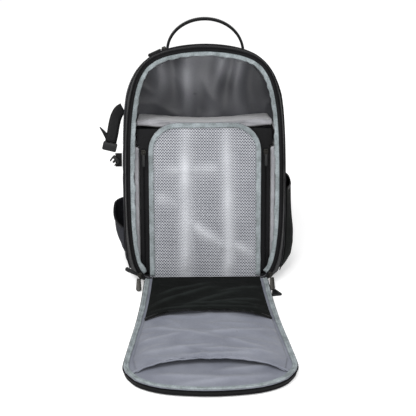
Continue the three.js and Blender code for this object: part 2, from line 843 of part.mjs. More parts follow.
// The half width inside the door's binding at a distance from the hinge.
function doorRoomAt(distance) {
  const points = doorOutline(doorBindingWidth + gap);
  const crossings = points.slice(1).flatMap((q, i) => {
    const p = points[i];
    if ((p.y + distance) * (q.y + distance) > 0 || p.y === q.y) {
      return [];
    }
    return [Math.abs(THREE.MathUtils.lerp(p.x, q.x, (-distance - p.y) / (q.y - p.y)))];
  });
  return Math.max(...crossings);
}

// A pocket's sheet on the door, sewn down at its sides and hinge end and lifted at its mouth. The
// mouth's distance from the hinge is greatest at the sides.
function doorPocket(low, middleReach, dip, lift, rows, columns) {
  const at = (row, column) => {
    const across = Math.abs(2 * column - 1);
    const reach = middleReach + dip * across ** 2.2;
    const distance = THREE.MathUtils.lerp(pocketStart, reach, row);
    const x = (2 * column - 1) * doorRoomAt(distance);
    const rise = lift * Math.sin((Math.PI / 2) * row) * (1 - across ** 4);
    return new THREE.Vector3(x, -distance, low + pocketSheet + rise);
  };
  return sheet(rows, columns, at, new THREE.Vector3(0, 0, -pocketSheet));
}
const pocketStart = 3;

// A padded shoulder strap that lies down the back, and the webbing below it.
// Shares run from the strap's top to its foot.
const strapRows = [
  { down: 0.0, out: 0.0, half: 0.85, off: 0 },
  { down: 0.21, out: 0.225, half: 1.0, off: 0.2 },
  { down: 0.51, out: 0.55, half: 1.0, off: 0.5 },
  { down: 0.785, out: 0.8, half: 0.92, off: 0.35 },
  { down: 1.0, out: 1.0, half: 0.78, off: 0.0 },
];
function shoulderStrap(side) {
  const sections = strapRows.map(({ down, out, half, off }) => {
    const height = THREE.MathUtils.lerp(strapTop, strapFoot, down);
    const across = THREE.MathUtils.lerp(strapTopAcross, strapFootAcross, out);
    const near = bagDepth + gap + off * strapLift;
    const width = strapHalfWidth * half;
    const far = near + strapThickness;
    const middle = (near + far) / 2;
    const x = side * across;
    return [
      new THREE.Vector3(x - width, middle, height),
      new THREE.Vector3(x - width * 0.9, near, height),
      new THREE.Vector3(x + width * 0.9, near, height),
      new THREE.Vector3(x + width, middle, height),
      new THREE.Vector3(x + width * 0.9, far, height),
      new THREE.Vector3(x - width * 0.9, far, height),
    ];
  });
  return loft(sections);
}

function strapWebbing(side) {
  const half = webbingWidth / 2;
  const sections = [
    { down: 0.0, off: 3 },
    { down: 0.48, off: 4 },
    { down: 1.0, off: 0 },
  ].map(({ down, off }) => {
    const height = THREE.MathUtils.lerp(strapFoot - gap, lowerWebbingFoot, down);
    const across = THREE.MathUtils.lerp(strapFootAcross, lowerWebbingAcross, down);
    const depth = bagDepth + gap + off;
    return [
      new THREE.Vector3(side * across - half, depth, height),
      new THREE.Vector3(side * across + half, depth, height),
      new THREE.Vector3(side * across + half, depth + webbingThickness, height),
      new THREE.Vector3(side * across - half, depth + webbingThickness, height),
    ];
  });
  return loft(sections);
}

function ladderLock() {
  const outer = roundedRectangle(36, 20, 3);
  const slot = (y) => {
    const hole = new THREE.Path();
    hole.moveTo(-13.5, y - 1.6);
    hole.lineTo(-13.5, y + 1.6);
    hole.lineTo(13.5, y + 1.6);
    hole.lineTo(13.5, y - 1.6);
    return hole;
  };
  outer.holes.push(slot(4.5), slot(-4.5));
  const options = { depth: lockThickness, bevelEnabled: false, curveSegments: 3 };
  return new THREE.ExtrudeGeometry(outer, options).rotateX(Math.PI / 2);
}

// The leaning body
const baseFront = floorAt(0) * Math.sin(leanAngle);
const baseBack = bagDepth * Math.cos(leanAngle) + floorAt(bagDepth) * Math.sin(leanAngle);
const frontY = -(baseFront + baseBack) / 2;
const body = new THREE.Group();
body.rotation.x = -leanAngle;
body.position.set(0, frontY, hingeHeight);

const backFront = bagDepth - backThickness - gap;
body.add(
  piece("zip_gusset", gusset(0, seamDepth), materials.shellBlack),
  piece("side_gusset", gusset(seamDepth + gap, backFront), materials.shellCharcoal),
  piece("back_panel", backPanel(), materials.shellBlack),
  piece("lining", lining(), materials.lining),
  piece("body_zip", bodyZip(), materials.webbing),
  piece("body_binding", bodyBinding(), materials.binding),
  piece("back_zip", backZip(), materials.webbing),
  piece("carry_handle", handle(), materials.webbing),
);

body.add(
  piece("mesh_flap", meshFlap(), materials.mesh),
  piece("flap_frame", flapFrame(), materials.webbing),
  piece("flap_binding", flapBinding(), materials.binding),
  piece("shelf", shelf(), materials.padding),
);

for (const [side, name] of [
  [-1, "left"],
  [1, "right"],
]) {
  body.add(
    piece("insert_wall_" + name, insertWall(side), materials.padding),
    piece("shelf_tab_" + name, shelfTab(side), materials.padding),
    piece("shoulder_strap_" + name, shoulderStrap(side), materials.meshBlack),
    piece("strap_webbing_" + name, strapWebbing(side), materials.webbing),
  );

  const lock = piece("ladder_lock_" + name, ladderLock(), materials.plastic);
  const webbingTop = bagDepth + gap + 3 + webbingThickness;
  lock.position.set(side * (strapFootAcross + 2.5), webbingTop + lockThickness + 2 * gap, strapFoot - 10.4);
  body.add(lock);

  const flapSlider = piece("flap_slider_" + name, slider(), materials.metal);
  flapSlider.rotation.x = Math.PI / 2;
  flapSlider.position.set(side * 109, frameDepth - gap, (insertTop - 4) - 7);
  const flapPull = piece("flap_pull_" + name, pull(22, 5, 1.8), materials.plastic);
  flapPull.position.set(side * 109, frameDepth - gap - sliderHeight - 5, (insertTop - 4) - 9);
  body.add(flapSlider, flapPull);
}

body.add(
  piece("pocket_left", sidePocket(-1, leftPocket, [0.06, 0.25, 0.55, 0.85, 1], 30), materials.shellCharcoal),
  piece("pocket_right", sidePocket(1, rightPocket, [0.1, 0.7, 1, 0.9, 0.6, 0.45], 6), materials.meshBlack),
);

const strap = sideStrap();
body.add(piece("side_strap", strap.geometry, materials.webbing));
const socket = piece("buckle_socket", buckleSocket(), materials.plastic);
socket.rotation.y = Math.atan2(-strap.tangent.x, -strap.tangent.z);
socket.position.copy(strap.end).addScaledVector(strap.tangent, socketLength / 2 + gap + 0.1);
socket.position.y = sideStrapDepth;
body.add(socket);

const tabLength = 12;
const tabRoot = halfWidthAt(sideStrapDepth, lowerTabHeight - webbingWidth / 2) + gap + 0.2;
const tab = new THREE.BoxGeometry(tabLength, webbingThickness, webbingWidth);
const lowerTab = piece("buckle_tab", tab, materials.webbing);
lowerTab.position.set(-tabRoot - tabLength / 2, sideStrapDepth, lowerTabHeight);
const plug = piece("buckle_plug", bucklePlug(), materials.plastic);
plug.rotation.y = Math.PI / 4;
plug.position.set(-tabRoot - 8, sideStrapDepth - 3.2, lowerTabHeight + 4);
body.add(lowerTab, plug);

// The door on the floor
const doorStart = baseFront - gap - 0.3;
const door = new THREE.Group();
door.position.set(doorShift, frontY + doorStart, 0);
const liningPocketLow = doorLiningTop + gap;
const meshPocketLow = liningPocketLow + pocketSheet + 4 * gap;
const liningPocket = doorPocket(liningPocketLow, liningPocketReach, liningPocketDip, liningPocketLift, 8, 12);
const meshPocket = doorPocket(meshPocketLow, meshPocketReach, meshPocketDip, meshPocketLift, 6, 12);
door.add(
  piece("door_panel", doorPanel(), materials.shellBlack),
  piece("door_lining", doorPlate(0, doorThickness + gap, doorLiningTop), materials.liningPale),
  piece("door_binding", doorBinding(), materials.binding),
  piece("door_zip", doorZip(), materials.webbing),
  piece("door_pocket", liningPocket, materials.liningPale),
  piece("door_mesh_pocket", meshPocket, materials.meshBlack),
);

// A strip of cloth closes the joint between the door and the body's rim.
const stripHalf = doorHalfWidth * doorRows[0].width - doorEdgeInset - doorBindingWidth - gap;
const hingeStrip = { half: stripHalf, front: 5.2, back: 0.9, low: doorLiningTop + gap };
const stripBox = new THREE.BoxGeometry(
  2 * hingeStrip.half,
  hingeStrip.front - hingeStrip.back,
  liningThickness,
);
const strip = piece("hinge_strip", stripBox, materials.binding);
strip.position.set(
  0,
  frontY - (hingeStrip.front + hingeStrip.back) / 2,
  hingeStrip.low + liningThickness / 2,
);

// The main zip's sliders at the door's corners, with a metal tab each that hangs to the floor
const pulls = new THREE.Group();
pulls.position.set(0, frontY, 0);
const coilFront = -gap - tapeThickness - coilSize - gap;
const tabAngle = -0.7;
const sliderRise = 5.5;
for (const [side, name] of [
  [-1, "left"],
  [1, "right"],
]) {
  const across = halfWidthAt(0, sliderRise) - 3;
  const along = new THREE.Vector3(side * Math.cos(1.0), 0, Math.sin(1.0));
  const place = new THREE.Vector3(side * across, coilFront, sliderRise);
  body.add(placeSlider("door_slider_" + name, place, along, new THREE.Vector3(0, -1, 0)));
  const metalTab = piece("door_tab_" + name, pull(24, 7, 1.8, 10), materials.metal);
  metalTab.rotation.x = tabAngle;
  metalTab.position.set(side * (across + 3), -11.1, 19.2);
  pulls.add(metalTab);
}

// The left slider's moulded grip stands out sideways and the right one lies on the floor.
const leftGrip = piece("door_grip_left", pull(24, 5, 4, 7.5), materials.plastic);
leftGrip.rotation.y = 2.07;
leftGrip.position.set(-halfWidthAt(0, 12) + 2.4, coilFront - 5, 9.2);
body.add(leftGrip);
const rightGrip = piece("door_grip_right", grip(23, 6, 19, 3.5), materials.plastic);
rightGrip.rotation.set(-Math.PI / 2, 0, 0.2, "ZYX");
rightGrip.position.set(halfWidthAt(0, sliderRise) + 2.6, -27.6, 2.1);
pulls.add(rightGrip);

// The top slider on the plain zip, its cord grip lying outwards down the slope
const topSliderX = handleShift - handleSpan / 2 - topSliderGap;
const topPlace = {
  slider: topSliderX,
  gripNear: topSliderX - topGripStart,
  gripFar: topSliderX - topGripStart - topGripLength,
  depth: backZipDepth,
};
const zipTopAt = (x) => new THREE.Vector3(x, topPlace.depth, heightsAt(topPlace.depth, x).top);
const topSlope = zipTopAt(topPlace.slider + 5).sub(zipTopAt(topPlace.slider - 5)).normalize();
const topOutward = new THREE.Vector3(-topSlope.z, 0, topSlope.x);
const topSliderPlace = zipTopAt(topPlace.slider).addScaledVector(topOutward, 2);
body.add(placeSlider("top_slider", topSliderPlace, topSlope, topOutward));
const gripEnds = [zipTopAt(topPlace.gripNear), zipTopAt(topPlace.gripFar)];
const gripRun = gripEnds[1].clone().sub(gripEnds[0]);
const topGrip = piece("top_grip", pull(gripRun.length(), 4, 3.5, 6), materials.plastic);
topGrip.rotation.y = Math.atan2(-gripRun.x, -gripRun.z);
topGrip.position.copy(gripEnds[0]).addScaledVector(topOutward, 6);
body.add(topGrip);

const part = new THREE.Group();
part.name = "camera_backpack";
part.add(body, door, strip, pulls);

export default part;
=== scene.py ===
import math

import bmesh
import bpy
import numpy as np
from mathutils import Matrix, Vector, noise
from mathutils.bvhtree import BVHTree


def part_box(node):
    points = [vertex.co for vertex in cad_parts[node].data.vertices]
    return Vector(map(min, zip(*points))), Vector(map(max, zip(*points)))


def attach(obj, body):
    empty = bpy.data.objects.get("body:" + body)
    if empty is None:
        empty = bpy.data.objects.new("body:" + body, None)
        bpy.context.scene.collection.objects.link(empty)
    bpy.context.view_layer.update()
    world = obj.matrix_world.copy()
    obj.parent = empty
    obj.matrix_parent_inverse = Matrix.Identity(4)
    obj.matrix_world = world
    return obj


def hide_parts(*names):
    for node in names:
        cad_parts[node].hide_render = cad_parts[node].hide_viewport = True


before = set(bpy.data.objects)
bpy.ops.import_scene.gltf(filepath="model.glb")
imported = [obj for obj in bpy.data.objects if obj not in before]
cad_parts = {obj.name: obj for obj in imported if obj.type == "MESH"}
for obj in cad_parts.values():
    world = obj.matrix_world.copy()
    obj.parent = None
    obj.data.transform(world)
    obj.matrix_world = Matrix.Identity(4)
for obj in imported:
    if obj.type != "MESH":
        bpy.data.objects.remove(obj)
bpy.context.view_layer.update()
mm = 0.001
print("stage 1: the frame is in")


# camera, light and floor
cameraSettings = {
    "place": (-0.04648, -2.39809, 1.07657),
    "down": 21.816,
    "turn": -1.2726,
    "focal": 121.15,
    "sensor": 36,
}
lamps = [
    {"name": "keyLight", "place": (-0.8, -1.7, 2.5), "aim": (0, -0.1, 0.2), "size": 1.8, "watts": 72},
    {"name": "frontLight", "place": (0.1, -2.6, 1.15), "aim": (0, 0, 0.28), "size": 0.7, "watts": 18},
    {"name": "fillLight", "place": (1.5, -1.6, 1.9), "aim": (0, -0.1, 0.2), "size": 1.6, "watts": 10},
]
roomLight = {"colour": "#ffffff", "strength": 0.6}


def toLinear(colour):
    parts = [int(colour[i : i + 2], 16) / 255 for i in (1, 3, 5)]
    return tuple(c / 12.92 if c <= 0.04045 else ((c + 0.055) / 1.055) ** 2.4 for c in parts) + (1.0,)


def addNode(tree, kind, inputs=None, **settings):
    made = tree.nodes.new("ShaderNode" + kind)
    for name, value in settings.items():
        setattr(made, name, value)
    for socket, value in (inputs or {}).items():
        if isinstance(value, bpy.types.NodeSocket):
            tree.links.new(value, made.inputs[socket])
        else:
            made.inputs[socket].default_value = value
    return made


def aimed(obj, target):
    direction = Vector(target) - obj.location
    obj.rotation_euler = direction.to_track_quat("-Z", "Y").to_euler()


def addCamera(settings):
    data = bpy.data.cameras.new("camera")
    data.lens = settings["focal"]
    data.sensor_width = settings["sensor"]
    data.sensor_fit = "HORIZONTAL"
    data.clip_end = 50
    camera = bpy.data.objects.new("camera", data)
    camera.location = settings["place"]
    camera.rotation_euler = (math.radians(90 - settings["down"]), 0, math.radians(settings["turn"]))
    bpy.context.scene.collection.objects.link(camera)
    bpy.context.scene.camera = camera


def addLamp(settings):
    data = bpy.data.lights.new(settings["name"], "AREA")
    data.size = settings["size"]
    data.energy = settings["watts"]
    lamp = bpy.data.objects.new(settings["name"], data)
    lamp.location = settings["place"]
    aimed(lamp, settings["aim"])
    bpy.context.scene.collection.objects.link(lamp)


def addFloor():
    bm = bmesh.new()
    bmesh.ops.create_grid(bm, x_segments=1, y_segments=1, size=9)
    mesh = bpy.data.meshes.new("floor")
    bm.to_mesh(mesh)
    bm.free()
    floor = bpy.data.objects.new("floor", mesh)
    bpy.context.scene.collection.objects.link(floor)
    # matt white paper: even and without gloss
    paper = bpy.data.materials.new("mattPaper")
    paper.use_nodes = True
    shader = paper.node_tree.nodes["Principled BSDF"]
    shader.inputs["Base Color"].default_value = toLinear("#f4f4f4")
    shader.inputs["Roughness"].default_value = 0.95
    shader.inputs["Specular IOR Level"].default_value = 0.1
    shader.inputs["Emission Color"].default_value = toLinear("#ffffff")
    shader.inputs["Emission Strength"].default_value = 0.3
    mesh.materials.append(paper)


addCamera(cameraSettings)
for lamp in lamps:
    addLamp(lamp)
addFloor()
room = bpy.data.worlds.new("room")
room.use_nodes = True
room.node_tree.nodes["Background"].inputs["Color"].default_value = toLinear(roomLight["colour"])
room.node_tree.nodes["Background"].inputs["Strength"].default_value = roomLight["strength"]
bpy.context.scene.world = room
bpy.context.scene.view_settings.view_transform = "Standard"
print("stage 2: camera, light and floor")


# the leaning frame of the body: x, depth behind the front rim, height above the hinge
bag = {"lean": math.radians(7.7), "front": -0.0861329, "hinge": 0.016, "middle": 0.2}
leanCos, leanSin = math.cos(bag["lean"]), math.sin(bag["lean"])


def fromBag(x, depth, height):
    y = bag["front"] + depth * leanCos + height * leanSin
    return Vector((x, y, bag["hinge"] - depth * leanSin + height * leanCos))


def toBag(p):
    y, z = p.y - bag["front"], p.z - bag["hinge"]
    return Vector((p.x, y * leanCos - z * leanSin, y * leanSin + z * leanCos))


def bagTurn(x, depth, height):
    return fromBag(x, depth, height) - fromBag(0, 0, 0)


# materials
def clothMaterial(name, look):
    # look: colour and shade mottled together, thread pitch in mm, weave and fuzz bump in mm
    material = bpy.data.materials.new(name)
    material.use_nodes = True
    tree = material.node_tree
    shader = tree.nodes["Principled BSDF"]
    place = addNode(tree, "TexCoord").outputs["Object"]
    flat = addNode(tree, "UVMap", uv_map="UVMap").outputs["UV"]
    threads = addNode(tree, "Mapping", {"Vector": flat, "Scale": [2 * math.pi / (look["thread"] * mm)] * 3})
    parts = addNode(tree, "SeparateXYZ", {0: threads.outputs[0]})
    over = addNode(tree, "Math", {0: parts.outputs["X"]}, operation="SINE")
    under = addNode(tree, "Math", {0: parts.outputs["Y"]}, operation="SINE")
    if look.get("ribs"):
        weave = under
    else:
        weave = addNode(tree, "Math", {0: over.outputs[0], 1: under.outputs[0]}, operation="MULTIPLY")
    cloud = addNode(tree, "TexNoise", {"Vector": place, "Scale": look.get("cloud", 14), "Detail": 3.0})
    speck = addNode(tree, "TexNoise", {"Vector": place, "Scale": look.get("speck", 420), "Detail": 2.0})
    amount = addNode(tree, "MapRange", {"Value": cloud.outputs["Fac"], "From Min": 0.35, "From Max": 0.65})
    base = addNode(
        tree,
        "Mix",
        {0: amount.outputs[0], 6: toLinear(look["colour"]), 7: toLinear(look["shade"])},
        data_type="RGBA",
    )
    grain = addNode(
        tree,
        "MapRange",
        {
            "Value": speck.outputs["Fac"],
            "From Min": 0.3,
            "From Max": 0.7,
            "To Min": 1 - look["mottle"],
            "To Max": 1 + look["mottle"],
        },
    )
    lift = addNode(
        tree,
        "MapRange",
        {"Value": weave.outputs[0], "From Min": -1.0, "To Min": 1 - look["contrast"], "To Max": 1.0},
    )
    both = addNode(tree, "Math", {0: grain.outputs[0], 1: lift.outputs[0]}, operation="MULTIPLY")
    # painted highlight: a per-point attribute mixes the colour towards the paler highlight colour where light
    # falls on folds and lit places
    paintedHighlight = addNode(tree, "Attribute", attribute_name="paintedHighlight")
    lit = addNode(
        tree,
        "Mix",
        {0: paintedHighlight.outputs["Fac"], 6: base.outputs[2], 7: toLinear(look.get("highlightColour", look["shade"]))},
        data_type="RGBA",
    )
    tone = addNode(tree, "VectorMath", {0: lit.outputs[2], "Scale": both.outputs[0]}, operation="SCALE")
    tree.links.new(tone.outputs[0], shader.inputs["Base Color"])
    fuzz = addNode(tree, "Math", {0: speck.outputs["Fac"], 1: look["fuzz"]}, operation="MULTIPLY")
    relief = addNode(
        tree,
        "Math",
        {0: weave.outputs[0], 1: look["weave"], 2: fuzz.outputs[0]},
        operation="MULTIPLY_ADD",
    )
    bump = addNode(tree, "Bump", {"Height": relief.outputs[0], "Distance": mm, "Strength": 0.8})
    tree.links.new(bump.outputs[0], shader.inputs["Normal"])
    shader.inputs["Roughness"].default_value = look["roughness"]
    shader.inputs["Sheen Weight"].default_value = look.get("sheen", 0.2)
    shader.inputs["Sheen Roughness"].default_value = 0.45
    shader.inputs["Specular IOR Level"].default_value = look.get("specular", 0.3)
    return material


def meshMaterial(name, look):
    # knitted spacer mesh: round holes in staggered rows, pitch in mm across and along
    material = bpy.data.materials.new(name)
    material.use_nodes = True
    tree = material.node_tree
    shader = tree.nodes["Principled BSDF"]
    place = addNode(tree, "TexCoord").outputs["Object"]
    flat = addNode(tree, "UVMap", uv_map="UVMap").outputs["UV"]
    scale = (1 / (look["across"] * mm), 1 / (look["along"] * mm), 1)
    holes = []
    for shift in (0.0, 0.5):
        cell = addNode(tree, "Mapping", {"Vector": flat, "Location": (shift, shift, 0), "Scale": scale})
        inside = addNode(tree, "VectorMath", {0: cell.outputs[0]}, operation="FRACTION")
        middle = addNode(
            tree, "VectorMath", {0: inside.outputs[0], 1: (0.5, 0.5, 0)}, operation="SUBTRACT"
        )
        slant = {"Vector": middle.outputs[0], "Rotation": (0, 0, 2 * look.get("lean", 0)),
                 "Scale": (1 - look.get("lean", 0), 1 + look.get("lean", 0), 1)}
        oval = addNode(tree, "Mapping", slant)
        holes.append(addNode(tree, "VectorMath", {0: oval.outputs[0]}, operation="LENGTH").outputs["Value"])
    nearest = addNode(tree, "Math", {0: holes[0], 1: holes[1]}, operation="MINIMUM")
    thread = addNode(
        tree,
        "MapRange",
        {"Value": nearest.outputs[0], "From Min": look["hole"] - 0.08, "From Max": look["hole"] + 0.08},
    )
    cloud = addNode(tree, "TexNoise", {"Vector": place, "Scale": look.get("cloud", 16), "Detail": 3.0})
    amount = addNode(tree, "MapRange", {"Value": cloud.outputs["Fac"], "From Min": 0.35, "From Max": 0.65})
    yarn = addNode(
        tree,
        "Mix",
        {0: amount.outputs[0], 6: toLinear(look["colour"]), 7: toLinear(look["shade"])},
        data_type="RGBA",
    )
    tone = addNode(
        tree,
        "Mix",
        {0: thread.outputs[0], 6: toLinear(look["deep"]), 7: yarn.outputs[2]},
        data_type="RGBA",
    )
    # paler where the knit is stretched over a fold and its holes close, and partly painted highlight: a
    # per-point attribute mixes the colour towards the paler highlight colour where light falls on the fold
    # crests
    paintedHighlight = addNode(tree, "Attribute", attribute_name="paintedHighlight")
    pale = addNode(
        tree,
        "Mix",
        {0: paintedHighlight.outputs["Fac"], 6: tone.outputs[2], 7: toLinear(look["highlightColour"])},
        data_type="RGBA",
    )
    tree.links.new(pale.outputs[2], shader.inputs["Base Color"])
    bump = addNode(tree, "Bump", {"Height": thread.outputs[0], "Distance": look["relief"] * mm})
    tree.links.new(bump.outputs[0], shader.inputs["Normal"])
    shader.inputs["Roughness"].default_value = look["roughness"]
    shader.inputs["Sheen Weight"].default_value = look.get("sheen", 0.2)
    shader.inputs["Specular IOR Level"].default_value = look.get("specular", 0.3)
    return material


def mouldedMaterial(name, look):
    # plastic or metal from a mould: an even colour with fine grit and worn highlights
    material = bpy.data.materials.new(name)
    material.use_nodes = True
    tree = material.node_tree
    shader = tree.nodes["Principled BSDF"]
    place = addNode(tree, "TexCoord").outputs["Object"]
    grit = addNode(tree, "TexNoise", {"Vector": place, "Scale": look["grit"], "Detail": 3.0})
    cloud = addNode(tree, "TexNoise", {"Vector": place, "Scale": 90.0, "Detail": 2.0})
    tone = addNode(
        tree,
        "Mix",
        {0: cloud.outputs["Fac"], 6: toLinear(look["colour"]), 7: toLinear(look["shade"])},
        data_type="RGBA",
    )
    tree.links.new(tone.outputs[2], shader.inputs["Base Color"])
    gloss = addNode(
        tree,
        "MapRange",
        {
            "Value": grit.outputs["Fac"],
            "To Min": look["roughness"] - 0.1,
            "To Max": look["roughness"] + 0.12,
        },
    )
    tree.links.new(gloss.outputs[0], shader.inputs["Roughness"])
    bump = addNode(tree, "Bump", {"Height": grit.outputs["Fac"], "Distance": look["relief"] * mm})
    tree.links.new(bump.outputs[0], shader.inputs["Normal"])
    shader.inputs["Metallic"].default_value = look.get("metal", 0.0)
    shader.inputs["Specular IOR Level"].default_value = look.get("specular", 0.5)
    return material


# real threads lie about 0.3 to 0.6 mm apart, too fine to show, so they are drawn a few times coarser
looks = {
    # 840 denier ballistic nylon, woven: near black, soft shine on its folds
    "ballisticNylon": {"colour": "#0e0e10", "shade": "#17171a", "thread": 1.6, "weave": 0.12, "fuzz": 0.1,
                       "mottle": 0.12, "contrast": 0.25, "roughness": 0.6, "sheen": 0.02, "specular": 0.12},
    # 600 denier melange polyester: charcoal with paler threads
    "melangePolyester": {"colour": "#26272b", "shade": "#323338", "thread": 1.6, "weave": 0.12, "fuzz": 0.12,
                         "mottle": 0.3, "contrast": 0.3, "roughness": 0.92, "sheen": 0.0, "specular": 0.1},
    # 210 denier taffeta lining: thin and smooth, so its folds shine. Its colour is kept dark as painted shade
    #                            for its sides, and its highlight colour is a painted highlight on its lit
    #                            middle and fold crests
    "taffetaGrey": {"colour": "#34353a", "shade": "#434449", "highlightColour": "#b6b7bd", "thread": 1.2,
                    "weave": 0.03, "fuzz": 0.04,
                    "mottle": 0.05, "contrast": 0.06, "roughness": 0.42, "sheen": 0.15, "specular": 0.5},
    # taffeta of the door lining and pocket; its highlight colour is a painted highlight on the crests of
    # their folds
    "taffetaBlueGrey": {"colour": "#666974", "shade": "#767983", "highlightColour": "#9598a2", "thread": 1.3,
                        "weave": 0.04, "fuzz": 0.05,
                        "mottle": 0.06, "contrast": 0.08, "roughness": 0.52, "sheen": 0.15, "specular": 0.35},
    # grosgrain tape folded over the raw edges: pale mint grey with fine ribs
    "grosgrainMint": {"colour": "#6c7375", "shade": "#8d9598", "thread": 2.0, "weave": 0.1, "fuzz": 0.25,
                      "mottle": 0.2, "contrast": 0.2, "roughness": 0.8, "sheen": 0.1, "ribs": True,
                      "cloud": 60},
    # brushed tricot over foam: warm pale grey with a short nap
    "brushedTricot": {"colour": "#858589", "shade": "#949498", "thread": 1.4, "weave": 0.03, "fuzz": 0.2,
                      "mottle": 0.1, "contrast": 0.05, "roughness": 0.9, "sheen": 0.5, "cloud": 30},
    # nylon webbing: ribbed, black, a dull shine on the ribs
    "nylonWebbing": {"colour": "#0c0c0d", "shade": "#141416", "thread": 2.2, "weave": 0.25, "fuzz": 0.1,
                     "mottle": 0.15, "contrast": 0.35, "roughness": 0.5, "sheen": 0.0, "ribs": True,
                     "specular": 0.14},
    # polyester zip tape with its stitched coil
    "zipTape": {"colour": "#0b0b0c", "shade": "#121214", "thread": 1.5, "weave": 0.1, "fuzz": 0.05,
                "mottle": 0.1, "contrast": 0.2, "roughness": 0.6, "sheen": 0.0, "specular": 0.12},
    # polyester thread, a little paler than the cloth it sews
    "threadBlack": {"colour": "#1c1c1e", "shade": "#252528", "thread": 0.8, "weave": 0.02, "fuzz": 0.02,
                    "mottle": 0.1, "contrast": 0.2, "roughness": 0.5},
    "threadMint": {"colour": "#7b898b", "shade": "#94a1a4", "thread": 0.8, "weave": 0.02, "fuzz": 0.02,
                   "mottle": 0.1, "contrast": 0.2, "roughness": 0.55},
}
finishes = {name: clothMaterial(name, look) for name, look in looks.items()}
# warp-knitted spacer mesh, white yarn over blue-grey foam; holes drawn at the pitch the eye sees; its
# highlight colour makes the flap's fold crests paler, partly as stretched knit and partly as painted
# highlight
finishes["spacerMeshWhite"] = meshMaterial(
    "spacerMeshWhite",
    {"colour": "#bcbec3", "shade": "#cdcfd4", "deep": "#2f313b", "highlightColour": "#ced0d5", "across": 4.8,
     "along": 5.4, "hole": 0.29, "lean": 0.34, "relief": 0.5, "roughness": 0.8, "sheen": 0.1},
)
# stretch net: black, with small holes that show as a faint grain; its highlight colour is a painted highlight
# on the door net's fold crests
finishes["stretchNetBlack"] = meshMaterial(
    "stretchNetBlack",
    {"colour": "#0e100f", "shade": "#151817", "deep": "#050505", "highlightColour": "#272b2a", "across": 2.6,
     "along": 2.6, "hole": 0.22, "relief": 0.3, "roughness": 0.9, "sheen": 0.0, "specular": 0.08},
)
# air mesh of the back: thick black knit with open holes
finishes["airMeshBlack"] = meshMaterial(
    "airMeshBlack",
    {"colour": "#232326", "shade": "#2f2f33", "deep": "#060607", "highlightColour": "#38383c", "across": 5.2,
     "along": 5.2, "hole": 0.26, "relief": 0.9, "roughness": 0.85, "sheen": 0.03, "specular": 0.12},
)
# acetal from a spark-eroded mould: black, half matt
finishes["acetalBlack"] = mouldedMaterial(
    "acetalBlack",
    {"colour": "#0d0e0f", "shade": "#131415", "grit": 1400.0, "roughness": 0.42, "relief": 0.05,
     "specular": 0.25},
)
# die-cast zinc with an antique silver plating, rubbed pale on its edges
finishes["platedZinc"] = mouldedMaterial(
    "platedZinc",
    {"colour": "#1f1e1d", "shade": "#3c3b38", "grit": 600.0, "roughness": 0.38, "relief": 0.04, "metal": 1.0},
)
print("stage 3: materials")


# making pieces
def unwrapByFacing(mesh, isLeaning):
    # each face takes its two flat coordinates, in metres, so that weaves keep their real scale
    if mesh.uv_layers:
        return
    layer = mesh.uv_layers.new(name="UVMap")
    turn = Matrix.Rotation(bag["lean"] if isLeaning else 0, 3, "X")
    places = np.empty(len(mesh.vertices) * 3)
    mesh.vertices.foreach_get("co", places)
    places = places.reshape(-1, 3) @ np.array(turn).T
    normals = np.empty(len(mesh.polygons) * 3)
    mesh.polygons.foreach_get("normal", normals)
    axis = np.abs(normals.reshape(-1, 3) @ np.array(turn).T).argmax(axis=1)
    counts = np.empty(len(mesh.polygons), int)
    mesh.polygons.foreach_get("loop_total", counts)
    corners = np.empty(len(mesh.loops), int)
    mesh.loops.foreach_get("vertex_index", corners)
    axis = np.repeat(axis, counts)
    at = places[corners]
    u = np.where(axis == 0, at[:, 1], at[:, 0])
    v = np.where(axis == 2, at[:, 1], at[:, 2])
    layer.data.foreach_set("uv", np.stack([u, v], axis=1).astype(np.float32).ravel())


def addPiece(name, bm, finish, slot, stands=(), isLeaning=True):
    mesh = bpy.data.meshes.new(name)
    for face in bm.faces:
        face.smooth = True
    bm.to_mesh(mesh)
    bm.free()
    unwrapByFacing(mesh, isLeaning)
    mesh.materials.append(finishes[finish])
    piece = bpy.data.objects.new(name, mesh)
    bpy.context.scene.collection.objects.link(piece)
    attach(piece, "root")
    if stands:
        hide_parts(*stands)
    return piece


def cadCopy(node):
    bm = bmesh.new()
    bm.from_mesh(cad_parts[node].data)
    bmesh.ops.remove_doubles(bm, verts=bm.verts, dist=0.02 * mm)
    return bm


def refine(bm, longest):
    for _ in range(9):
        long = [e for e in bm.edges if e.calc_length() > longest * mm]
        if not long:
            break
        bmesh.ops.subdivide_edges(bm, edges=long, cuts=1)
        bmesh.ops.triangulate(bm, faces=[f for f in bm.faces if len(f.verts) > 3])


def relax(bm, times, factor=0.5):
    for _ in range(times):
        bmesh.ops.smooth_vert(
            bm, verts=bm.verts, factor=factor, use_axis_x=True, use_axis_y=True, use_axis_z=True
        )


def moveEach(bm, move):
    bm.normal_update()
    steps = [move(v.co, v.normal) for v in bm.verts]
    for v, step in zip(bm.verts, steps):
        v.co += step
        v.co.z = max(v.co.z, 0)


def ridge(p, start, end, width):
    # 1 on the line between two flat points, falling off on both sides and towards its ends
    along = (end[0] - start[0], end[1] - start[1])
    length = math.hypot(*along)
    t = ((p[0] - start[0]) * along[0] + (p[1] - start[1]) * along[1]) / length**2
    off = abs((p[0] - start[0]) * along[1] - (p[1] - start[1]) * along[0]) / length
    ends = max(0.0, 1 - max(0.0, abs(2 * t - 1) - 0.6) / 0.5)
    return math.exp(-((off / width) ** 2)) * ends


def dress(node, name, finish, slot, settings, move=None, isLeaning=True):
    bm = cadCopy(node)
    refine(bm, settings["longest"])
    relax(bm, settings.get("relax", 0), settings.get("factor", 0.5))
    if move:
        moveEach(bm, move)
    return addPiece(name, bm, finish, slot, [node], isLeaning=isLeaning)


